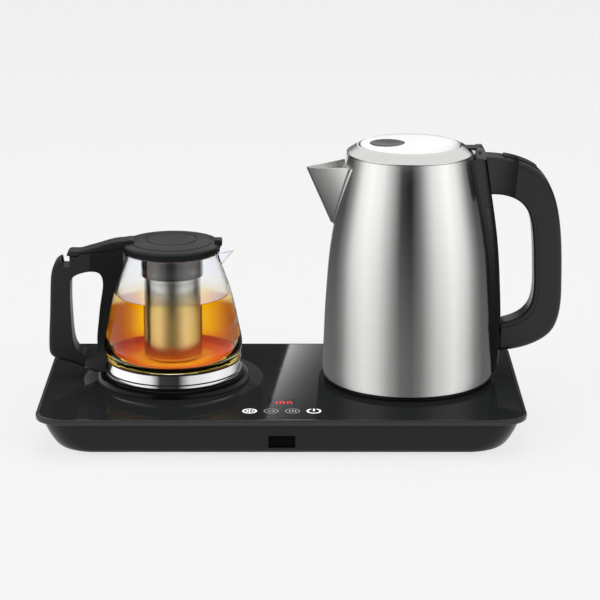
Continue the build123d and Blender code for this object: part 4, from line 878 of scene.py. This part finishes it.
KETTLE_LID = Assembly("kettle lid", (
    (LID_STEEL, ("kettle_lid",)),
    (PAD_GREY, ("kettle_lid_pad",)),
    (COVER_BLACK, ("kettle_lid_liner",)),
    (LID_SEAL, ("kettle_lid_seal",)),
))
TEAPOT = Assembly("teapot", (
    (POT_GLASS, ("teapot_glass",)),
    (BAND_STEEL, ("teapot_base_band", "infuser_rim")),
    (LID_BLACK, ("teapot_handle", "teapot_neck_ring", "teapot_lid", "teapot_lid_arm")),
    (PIN_BLACK, ("teapot_hinge_pin",)),
))


# ---------------------------------------------------------------- the tea and the strainer
@dataclass
class Tea:
    """The tea that stands in the pot."""

    level: float = 78.0 * MM
    edge: float = 49.9 * MM
    core: float = 2.0 * MM
    floor: float = 16.45 * MM
    wall: Sequence[Tuple[float, float]] = (
        (30.0, 16.45), (36.9, 16.98), (42.05, 17.97), (45.2, 18.97), (47.55, 19.97), (49.35, 20.97),
        (50.8, 21.97), (53.1, 23.97), (54.8, 25.97), (56.05, 27.98), (57.0, 29.98), (57.7, 31.99),
        (58.3, 36.0), (58.2, 40.0), (57.65, 44.0), (56.6, 50.0), (54.65, 60.0), (52.3, 70.0), (50.95, 75.0),
    )  # radius and height above the tray, in mm, measured off the inner wall of the solid glass
    rise: float = 0.9 * MM
    glow_sheet_top: float = 25.0
    leaf_span: Tuple[float, float] = (19.4 * MM, 88.0 * MM)
    sides: int = 96

    def build(self) -> bpy.types.Object:
        """Turns the tea up to its level, with the edge drawn up where it wets the glass.

        Returns:
            The tea.
        """
        rings = [(self.core, GLASS_TOP + self.floor)]
        rings += [(r * MM, GLASS_TOP + h * MM) for r, h in self.wall]
        edge, surface = self.edge, GLASS_TOP + self.level
        rings += [
            (edge, surface + self.rise),
            (edge - 0.5 * MM, surface + 0.35 * self.rise),
            (edge - 1.6 * MM, surface),
            (edge * 0.6, surface - 0.02 * MM),
            (self.core, surface - 0.03 * MM),
        ]
        piece = Shaping.lathe("tea", TEAPOT_AXIS, rings, self.sides)
        Shaping.paint(piece, TEA_LIQUID)
        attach(piece, "teapot")
        self.film(edge, surface)
        self.lay_glow_sheet()
        self.leaves()
        LOG.info("tea poured to %.1f mm above the tray", self.level / MM)
        return piece

    def film(self, edge: float, surface: float) -> None:
        """Lays the mirroring skin on the tea.

        Args:
            edge: Radius of the tea's edge.
            surface: Z of the tea's level.
        """
        rings = [
            (self.core, surface + 0.1 * MM), (edge - 1.6 * MM, surface + 0.1 * MM),
            (edge - 1.6 * MM, surface + 0.2 * MM), (self.core, surface + 0.2 * MM),
        ]
        piece = Shaping.lathe("tea_film", TEAPOT_AXIS, rings, self.sides)
        Shaping.paint(piece, TEA_FILM)
        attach(piece, "teapot")

    def lay_glow_sheet(self) -> None:
        """Lays a thin bowl along the floor and the round corner of the pot, coloured with the tea's painted
        glow.
        """
        outer = [(r - 0.25, h + 0.25) for r, h in self.wall if h < self.glow_sheet_top]
        inner = [(r - 0.35, h + 0.3) for r, h in outer[::-1]]
        (core, foot), (radius, height) = (self.core / MM, outer[0][1]), outer[-1]
        rings = [(core, foot), *outer, (radius - 0.2, height + 0.1), *inner, (core, foot + 0.3)]
        rings = [(r * MM, GLASS_TOP + h * MM) for r, h in rings]
        piece = Shaping.lathe("tea_bed", TEAPOT_AXIS, rings, self.sides)
        Shaping.paint(piece, TEA_GLOW_SHEET)
        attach(piece, "teapot")

    def leaves(self) -> None:
        """Fills the strainer with wet leaves, which darken its holes."""
        low, high = self.leaf_span
        outline = (
            (self.core, low), (22.0 * MM, low), (23.6 * MM, low + 1.6 * MM),
            (23.6 * MM, high - 2.0 * MM), (21.5 * MM, high), (self.core, high + 1.5 * MM),
        )
        rings = [(radius, GLASS_TOP + height) for radius, height in outline]
        piece = Shaping.lathe("tea_leaves", TEAPOT_AXIS, rings, self.sides)
        Shaping.paint(piece, LEAF_BROWN)
        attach(piece, "teapot")


@dataclass
class Strainer:
    """The perforated wall and floor of the infuser."""

    radius: float = 24.9 * MM
    wall: float = 0.5 * MM
    low: float = 18.5 * MM
    high: float = 95.0 * MM
    turn_up: float = 1.5 * MM
    columns: int = 96
    rows: int = 46
    first_row: int = 1
    last_row: int = 43
    inset: float = 0.42 * MM

    def build(self) -> bpy.types.Object:
        """Draws the wall up row by row and opens every second face.

        Returns:
            The strainer.
        """
        rim = GLASS_TOP + self.low + self.turn_up
        Shaping.start_ring(TEAPOT_AXIS, self.radius, rim, self.columns)
        step = (self.high - self.low - self.turn_up) / self.rows
        for row in range(self.rows):
            Shaping.draw_up(TEAPOT_AXIS, rim + (row + 1) * step, step)
        bpy.ops.object.mode_set(mode="OBJECT")
        piece = Shaping.settle("infuser_strainer")
        self.open_holes(piece, rim, step)
        self.close_floor(piece, rim)
        self.thicken(piece)
        Shaping.paint(piece, STRAINER_STEEL)
        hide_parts("infuser_basket")
        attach(piece, "teapot")
        LOG.info("strainer perforated with %d faces", len(piece.data.polygons))
        return piece

    def open_holes(self, piece: bpy.types.Object, start: float, step: float) -> None:
        """Insets every second face of the wall, rounds it and takes it out.

        Args:
            piece: The plain wall.
            start: Z of its lowest edge.
            step: Height of a row.
        """
        width = 2 * math.pi / self.columns
        for face in piece.data.polygons:
            place = face.center
            turn = math.atan2(place.y - TEAPOT_AXIS[1], place.x - TEAPOT_AXIS[0]) % (2 * math.pi)
            column = int(turn / width)
            row = int((place.z - start) / step)
            face.select = self.first_row <= row <= self.last_row and (row + column) % 2 == 0
        for edge in piece.data.edges:
            edge.select = False
        for vertex in piece.data.vertices:
            vertex.select = False
        bpy.ops.object.mode_set(mode="EDIT")
        bpy.ops.mesh.select_mode(type="FACE")
        bpy.ops.mesh.inset(thickness=self.inset, depth=0.0, use_individual=True)
        bpy.ops.mesh.bevel(offset_type="PERCENT", offset_pct=28, affect="VERTICES")
        bpy.ops.mesh.delete(type="FACE")
        bpy.ops.object.mode_set(mode="OBJECT")

    def close_floor(self, piece: bpy.types.Object, rim: float) -> None:
        """Draws the lowest edge in to a floor.

        Args:
            piece: The open wall.
            rim: Z of its lowest edge.
        """
        for vertex in piece.data.vertices:
            vertex.select = abs(vertex.co.z - rim) < 1e-5
        for edge in piece.data.edges:
            edge.select = all(abs(piece.data.vertices[i].co.z - rim) < 1e-5 for i in edge.vertices)
        for face in piece.data.polygons:
            face.select = False
        bpy.ops.object.mode_set(mode="EDIT")
        bpy.ops.mesh.select_mode(type="EDGE")
        inwards = (self.radius - self.turn_up) / self.radius
        Shaping.draw_up(TEAPOT_AXIS, rim - self.turn_up, -self.turn_up, inwards)
        bpy.ops.mesh.edge_face_add()
        bpy.ops.mesh.select_all(action="SELECT")
        bpy.ops.mesh.normals_make_consistent(inside=False)
        bpy.ops.object.mode_set(mode="OBJECT")

    def thicken(self, piece: bpy.types.Object) -> None:
        """Gives the sheet its thickness, inwards.

        Args:
            piece: The sheet.
        """
        wall = piece.modifiers.new("wall", "SOLIDIFY")
        wall.thickness = self.wall
        wall.offset = -1.0
        bpy.ops.object.modifier_apply(modifier=wall.name)
        bpy.ops.object.shade_smooth_by_angle(angle=SMOOTH_ANGLE)


# ---------------------------------------------------------------- the studio
def stage_material(name: str) -> Tuple[bpy.types.Material, Bench, Socket]:
    """Starts the material of a floor or card, which isn't sampled as a lamp.

    Args:
        name: Its name.

    Returns:
        The material, its nodes and the surface input of its output.
    """
    made = bpy.data.materials.new(name)
    made.use_nodes = True
    made.node_tree.nodes.clear()
    made.cycles.emission_sampling = "NONE"
    bench = Bench(made.node_tree)
    return made, bench, bench.put("ShaderNodeOutputMaterial").inputs["Surface"]


@dataclass
class Flag:
    """A glowing graded card bent close round a piece. Rays that leave from inside it meet it.

    It is a studio card and no piece of the object. The light and dark bands of the steel, and much of
    the tea's colour, come from these cards and not from the materials. The tones are given by the way
    round of the mirroring wall, in degrees from the front and positive to the right.
    """

    name: str
    axis: Tuple[float, float]
    foot: Tuple[float, float]
    head: Tuple[float, float]
    ramps: Sequence[Stops]
    changes: Sequence[Tuple[float, float]] = ()
    reach: Tuple[float, float] = (-180.0, 180.0)
    glossy: bool = True
    through_glass: bool = False
    widening: Tuple[float, float] = (1.0, 1.0)
    # The share of black that the card shows from outside, a painted shade on the reflections around the
    # piece.
    shade_veil: float = 0.0
    peak: float = 1.4

    def build(self) -> None:
        """Bends the card and lights it."""
        radius, height = self.foot
        Shaping.start_ring(self.axis, radius, height)
        Shaping.draw_up(self.axis, self.head[1], self.head[1] - height, self.head[0] / radius)
        bpy.ops.mesh.select_all(action="SELECT")
        bpy.ops.mesh.normals_make_consistent(inside=True)
        bpy.ops.object.mode_set(mode="OBJECT")
        card = Shaping.settle(self.name)
        card.data.materials.append(self.material())
        Studio.hide_from_view(card)
        card.visible_glossy = self.glossy
        card.visible_transmission = self.through_glass

    def tones(self, bench: Bench, factor: Socket, stops: Stops) -> Socket:
        """One ramp of tones by the way round.

        Args:
            bench: The material's nodes.
            factor: The way round, from 0 to 1.
            stops: Degrees and tones.

        Returns:
            The tone, as a share of the peak.
        """
        shares = [(0.5 + a / 360.0, tuple(c / self.peak for c in tone)) for a, tone in stops]
        return bench.ramp(factor, shares)

    def material(self) -> bpy.types.Material:
        """Builds the card's light.

        Returns:
            Its material.
        """
        made, bench, surface = stage_material(self.name)
        turned = bench.group(Effect.around_axis(), Vector=bench.own(), Centre=(*self.axis, 0.0)).outputs
        rise = self.head[1] - self.foot[1]
        share = bench.maths("MULTIPLY_ADD", turned["Height"], 1.0 / rise, -self.foot[1] / rise, clamp=True)
        spread = bench.maths("MULTIPLY_ADD", share, self.widening[1] - self.widening[0], self.widening[0])
        turn = bench.maths("DIVIDE", turned["Turn"], bench.maths("MULTIPLY", spread, 2 * math.pi))
        factor = bench.maths("ADD", turn, 0.5)
        tone = self.tones(bench, factor, self.ramps[0])
        for change, stops in zip(self.changes, self.ramps[1:]):
            tone = bench.blend(bench.span(turned["Height"], *change), tone, self.tones(bench, factor, stops))
        within = 1.0
        for limit, test in zip(self.reach, ("GREATER_THAN", "LESS_THAN")):
            within = bench.maths("MULTIPLY", within, bench.maths(test, turned["Turn"], math.radians(limit)))
        # From outside, the card shows partly see-through black: painted shade that dims the piece's
        # reflections in the tray and its neighbours.
        outer = bench.put("ShaderNodeNewGeometry").outputs["Backfacing"]
        seen = bench.maths("MULTIPLY", within, bench.maths("MULTIPLY_ADD", outer, self.shade_veil - 1.0, 1.0))
        shown = bench.blend(outer, tone, (0.0, 0.0, 0.0))
        glow = bench.put("ShaderNodeEmission", {"Color": shown, "Strength": self.peak})
        clear = bench.put("ShaderNodeBsdfTransparent")
        mix = bench.put("ShaderNodeMixShader", {0: seen, 1: clear.outputs[0], 2: glow.outputs[0]})
        bench.feed(surface, mix.outputs[0])
        return made


def greys(*stops: Tuple[float, float]) -> Stops:
    """Tones without colour.

    Args:
        *stops: Degrees and brightness.

    Returns:
        Degrees and colours.
    """
    return tuple((angle, (value, value, value)) for angle, value in stops)


CARD_FOOT = 35.6 * MM
KETTLE_FLAG = Flag(
    "kettle_flag",
    axis=KETTLE_AXIS,
    foot=(79 * MM, CARD_FOOT),
    head=(96 * MM, 0.250),
    ramps=(
        greys(
            (-80, 0.16), (-60, 0.15), (-52, 0.24), (-42, 0.66), (-32, 0.90), (-23, 0.76), (-14, 0.36),
            (-7, 0.17), (0, 0.14), (6, 0.22), (16, 0.62), (29, 0.92), (38.5, 0.68), (48.5, 0.26), (58, 0.14),
            (80, 0.14),
        ),
        greys(
            (-80, 0.06), (-66, 0.08), (-56, 0.36), (-46, 1.05), (-36, 1.26), (-25, 1.05), (-15.5, 0.50),
            (-8.5, 0.05), (-0.5, 0.0), (6.5, 0.22), (16.5, 0.92), (30.5, 1.26), (41.5, 1.02), (53.5, 0.30),
            (61.5, 0.10), (80, 0.05),
        ),
    ),
    changes=((CARD_FOOT, 0.250),),
    reach=(-114.0, 140.0),
    widening=(1.06, 1.42),
    shade_veil=0.6,
)
POT_CARD = {"axis": TEAPOT_AXIS, "foot": (80 * MM, CARD_FOOT), "head": (72 * MM, 0.150)}
BAND_FLAG = Flag(
    "band_flag",
    **POT_CARD,
    ramps=(
        greys(
            (-180, 0.6), (-118, 0.3), (-100, 0.6), (-75, 1.3), (-42, 1.2), (-22, 0.95), (-12, 0.05),
            (8, 0.03), (20, 0.8), (50, 1.1), (80, 0.9), (100, 0.3), (180, 0.6),
        ),
        greys((-180, 0.4), (-100, 0.10), (-70, 0.02), (70, 0.02), (100, 0.10), (180, 0.4)),
    ),
    changes=((0.050, 0.055),),
    shade_veil=0.7,
)
# The tones of the two lower ramps on the pot's front.
POT_FRONT = (
    (-85, (1.20,) * 3), (-68, (1.45, 1.40, 1.8)), (-47, (1.65, 1.60, 2.1)), (-34, (1.30, 1.25, 1.6)),
    (-17, (0.60, 0.58, 0.65)), (0, (0.32,) * 3), (17, (0.60, 0.58, 0.65)), (34, (1.30, 1.25, 1.6)),
    (47, (1.65, 1.60, 2.1)), (68, (1.45, 1.40, 1.8)), (85, (1.15,) * 3),
)
STRAINER_FLAG = Flag(
    "strainer_flag",
    **POT_CARD,
    ramps=(
        (
            (-180, (0.84, 0.34, 0.02)), (-160, (0.84, 0.33, 0.02)), (-153, (0.70, 0.22, 0.01)),
            (-144, (0.46, 0.09, 0.01)), (-126, (0.36, 0.08, 0.03)), (-112, (0.75, 0.62, 0.50)),
            *POT_FRONT,
            (112, (0.75, 0.60, 0.45)), (126, (0.30, 0.06, 0.02)), (142, (0.34, 0.06, 0.0)),
            (150, (0.55, 0.15, 0.0)), (160, (0.80, 0.30, 0.02)),
        ),
        (
            (-180, (1.12, 1.05, 0.10)), (-162, (1.12, 1.04, 0.06)), (-157, (1.05, 0.90, 0.02)),
            (-153, (0.88, 0.56, 0.01)), (-149, (0.64, 0.28, 0.01)), (-144, (0.46, 0.15, 0.01)),
            (-136, (0.38, 0.09, 0.01)), (-126, (0.45, 0.22, 0.06)), (-114, (0.75, 0.65, 0.50)),
            (-104, (0.80,) * 3),
            *POT_FRONT,
            (104, (0.70,) * 3), (114, (0.75, 0.60, 0.45)), (126, (0.34, 0.12, 0.03)),
            (136, (0.28, 0.05, 0.0)), (142, (0.32, 0.06, 0.0)), (147, (0.46, 0.15, 0.0)),
            (151, (0.62, 0.27, 0.0)), (156, (0.86, 0.52, 0.0)), (162, (1.0, 0.82, 0.02)),
        ),
        greys(
            (-180, 0.92), (-125, 0.92), (-115, 0.4), (-100, 0.20), (-75, 1.0), (-45, 1.5), (-25, 1.0),
            (-8, 0.14), (8, 0.04), (22, 0.7), (45, 1.45), (72, 1.0), (98, 0.16), (115, 0.4), (125, 0.92),
            (180, 0.92),
        ),
        (
            (-180, (0.92, 0.93, 1.0)), (-138, (0.92, 0.93, 1.0)),
            *greys(
                (-126, 0.5), (-105, 0.06), (-80, 0.14), (-48, 0.18), (-28, 0.10), (-8, 0.02), (6, 0.02),
                (24, 0.10), (50, 0.16), (80, 0.14), (105, 0.06), (126, 0.5),
            ),
            (138, (0.92, 0.93, 1.0)), (180, (0.92, 0.93, 1.0)),
        ),
    ),
    changes=((0.042, 0.060), (0.082, 0.090), (0.111, 0.115)),
    glossy=False,
    through_glass=True,
    peak=2.2,
)


@dataclass
class Studio:
    """A pale floor, soft lamps, dark and bright cards for the reflections, and the camera."""

    white: float = 0.895
    ambient: float = 0.62
    floor_size: float = 16.0
    floor_drop: float = 0.5 * MM
    paper_tone: float = 0.86
    floor_glow: float = 0.86
    card_radius: float = 2.4
    card_foot: float = 1.2 * MM
    card_height: float = 0.92
    card_peak: float = 1.25
    card_tones: Sequence[Tuple[float, float]] = (
        (-180, 0.10), (-140, 0.07), (-112, 0.10), (-92, 0.85), (-68, 1.22), (-45, 0.95), (-24, 0.28),
        (-6, 0.03), (12, 0.12), (30, 0.72), (52, 1.15), (68, 0.7), (79, 0.06), (98, 0.05), (116, 0.06),
        (180, 0.10),
    )
    sheen_depth: float = 2.2
    sheen_corners: Sequence[Tuple[float, float]] = (
        (0.0192, 0.60), (0.60, 0.60), (0.60, 0.92), (-0.0792, 0.92)
    )
    sheen_edge: Tuple[float, float] = (-0.3076, 0.2038)
    sheen_fade: float = -26.0
    sheen_drop: Tuple[float, float] = (-5.5, 4.7)
    sheen_glow: Tuple[float, float] = (4.9, 0.10)
    lid_card_place: Tuple[float, float, float] = (0.112, 0.5, 0.46)
    lid_card_size: Tuple[float, float] = (0.19, 0.36)
    lens: float = 138.0
    sensor: float = 36.0
    camera_place: Tuple[float, float, float] = (0.016, -1.952, 0.665)
    camera_pitch: float = 74.1
    lamp_aim: Tuple[float, float, float] = (0.0, 0.0, 0.08)
    lamps: Sequence[Tuple[str, Tuple[float, float, float], float, float]] = (
        ("lamp_left", (-1.7, -1.3, 1.6), 1.3, 20.0),
        ("lamp_right", (1.9, -1.1, 1.5), 1.3, 16.0),
        ("lamp_top", (0.0, 0.3, 2.4), 1.8, 26.0),
    )

    def build(self) -> None:
        """Sets up floor, world, lamps, cards and camera."""
        self.set_world()
        self.lay_floor()
        self.hang_lamps()
        self.stand_cards()
        self.stand_sheen_card()
        self.hang_lid_card()
        KETTLE_FLAG.build()
        BAND_FLAG.build()
        STRAINER_FLAG.build()
        self.place_camera()
        bpy.context.scene.view_settings.view_transform = "Standard"
        LOG.info("studio set up")

    @staticmethod
    def straight_look(bench: Bench) -> Socket:
        """1 for rays that show the background itself: from the camera, a reflection or through glass."""
        path = bench.put("ShaderNodeLightPath").outputs
        seen = bench.maths("MAXIMUM", path["Is Camera Ray"], path["Is Glossy Ray"])
        return bench.maths("MAXIMUM", seen, path["Is Transmission Ray"])

    def set_world(self) -> None:
        """Makes soft light all round, with a pale background."""
        world = bpy.data.worlds.new("studio_world")
        bpy.context.scene.world = world
        world.use_nodes = True
        world.node_tree.nodes.clear()
        bench = Bench(world.node_tree)
        soft = bench.put("ShaderNodeBackground", {"Color": (1.0, 1.0, 1.0, 1.0), "Strength": self.ambient})
        shown = bench.put("ShaderNodeBackground", {"Color": (self.white,) * 3 + (1.0,), "Strength": 1.0})
        mix = bench.put(
            "ShaderNodeMixShader",
            {0: self.straight_look(bench), 1: soft.outputs[0], 2: shown.outputs[0]},
        )
        end = bench.put("ShaderNodeOutputWorld")
        bench.feed(end.inputs["Surface"], mix.outputs[0])

    def lay_floor(self) -> None:
        """Lays a wide pale floor that keeps the object's shadow."""
        Shaping.fresh()
        bpy.ops.mesh.primitive_plane_add(size=self.floor_size, location=(0.0, 0.0, -self.floor_drop))
        floor = Shaping.settle("studio_floor")
        made, bench, surface = stage_material("studio_floor")
        paper = bench.put("ShaderNodeBsdfDiffuse", {"Color": (self.paper_tone,) * 3 + (1.0,)})
        shown = bench.put("ShaderNodeEmission", {"Color": (self.white,) * 3 + (1.0,), "Strength": 1.0})
        share = bench.maths("MULTIPLY", self.straight_look(bench), self.floor_glow)
        mix = bench.put("ShaderNodeMixShader", {0: share, 1: paper.outputs[0], 2: shown.outputs[0]})
        bench.feed(surface, mix.outputs[0])
        floor.data.materials.append(made)

    def hang_lamps(self) -> None:
        """Hangs the soft lamps, which light the object but leave the reflections to the cards."""
        for name, place, size, power in self.lamps:
            bpy.ops.object.light_add(type="AREA", location=place)
            lamp = bpy.context.object
            lamp.name = name
            lamp.data.shape = "SQUARE"
            lamp.data.size = size
            lamp.data.energy = power
            aim = Vector(self.lamp_aim) - Vector(place)
            lamp.rotation_euler = aim.to_track_quat("-Z", "Y").to_euler()
            lamp.visible_glossy = False

    @staticmethod
    def hide_from_view(card: bpy.types.Object) -> None:
        """Leaves a card to reflections alone."""
        for rays in ("camera", "diffuse", "transmission", "volume_scatter", "shadow"):
            setattr(card, "visible_" + rays, False)

    def stand_cards(self) -> None:
        """Rings the object with upright graded cards that only reflections meet."""
        Shaping.start_ring(KETTLE_AXIS, self.card_radius, self.card_foot)
        Shaping.draw_up(KETTLE_AXIS, self.card_foot + self.card_height, self.card_height)
        bpy.ops.object.mode_set(mode="OBJECT")
        ring = Shaping.settle("reflection_cards")
        made, bench, surface = stage_material("reflection_cards")
        turned = bench.group(Effect.around_axis(), Vector=bench.own(), Centre=(*KETTLE_AXIS, 0.0)).outputs
        degrees = bench.maths("MULTIPLY_ADD", turned["Turn"], 1.0 / (2 * math.pi), 0.5)
        shares = [(0.5 + angle / 360, (value / self.card_peak,) * 3) for angle, value in self.card_tones]
        lift = bench.span(turned["Height"], 0.0, 0.05, 1.0, 0.85)
        strength = bench.maths("MULTIPLY", lift, self.card_peak)
        glow = bench.put("ShaderNodeEmission", {"Color": bench.ramp(degrees, shares), "Strength": strength})
        bench.feed(surface, glow.outputs[0])
        ring.data.materials.append(made)
        self.hide_from_view(ring)

    def stand_sheen_card(self) -> None:
        """Stands the card behind the tray whose slanted edge crosses the glass as a wedge of light."""
        Shaping.fresh()
        bpy.ops.mesh.primitive_plane_add(
            size=1.0, location=(0.0, self.sheen_depth, 0.0), rotation=(math.pi / 2, 0.0, 0.0)
        )
        card = Shaping.settle("sheen_card")
        for vertex, (x, z) in zip(self.round_order(card), self.sheen_corners):
            vertex.co = (x, self.sheen_depth, z)
        made, bench, surface = stage_material("sheen_card")
        parts = bench.put("ShaderNodeSeparateXYZ", {0: bench.own()}).outputs
        edge = bench.maths("MULTIPLY_ADD", parts["Z"], *self.sheen_edge)
        along = bench.maths("SUBTRACT", parts["X"], edge)
        fade = bench.maths("EXPONENT", bench.maths("MULTIPLY", along, self.sheen_fade))
        drop = bench.maths("MULTIPLY_ADD", parts["Z"], *self.sheen_drop, clamp=True)
        strength = bench.maths("MULTIPLY_ADD", bench.maths("MULTIPLY", fade, drop), *self.sheen_glow)
        glow = bench.put("ShaderNodeEmission", {"Strength": strength})
        bench.feed(surface, glow.outputs[0])
        card.data.materials.append(made)
        self.hide_from_view(card)

    def hang_lid_card(self) -> None:
        """Hangs the bright card that the top of the kettle mirrors."""
        Shaping.fresh()
        bpy.ops.mesh.primitive_plane_add(
            size=1.0, location=self.lid_card_place, rotation=(math.pi / 2, 0.0, 0.0)
        )
        width, height = self.lid_card_size
        bpy.ops.transform.resize(value=(width, 1.0, height))
        card = Shaping.settle("lid_card")
        made, bench, surface = stage_material("lid_card")
        glow = bench.put("ShaderNodeEmission", {"Color": (1.0,) * 4, "Strength": self.card_peak})
        bench.feed(surface, glow.outputs[0])
        card.data.materials.append(made)
        self.hide_from_view(card)

    @staticmethod
    def round_order(card: bpy.types.Object) -> Sequence[bpy.types.MeshVertex]:
        """A four-cornered card's vertices, from lower left round to upper left."""
        return [card.data.vertices[i] for i in card.data.polygons[0].vertices]

    def place_camera(self) -> None:
        """Places the camera a little above the object, in front of it."""
        bpy.ops.object.camera_add(
            location=self.camera_place, rotation=(math.radians(self.camera_pitch), 0.0, 0.0)
        )
        camera = bpy.context.object
        camera.name = "studio_camera"
        camera.data.lens = self.lens
        camera.data.sensor_width = self.sensor
        camera.data.sensor_fit = "HORIZONTAL"
        bpy.context.scene.camera = camera


def main() -> None:
    """Builds the studio and every piece in order."""
    logging.basicConfig(level=logging.INFO, format="%(name)s: %(message)s")
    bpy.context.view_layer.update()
    Studio().build()
    for part in (TRAY, ELECTRONICS, KETTLE, KETTLE_LID, TEAPOT):
        part.dress()
    for part in (Tea(), Strainer()):
        part.build()
    LOG.info("sizes written")


if __name__ == "__main__":
    main()
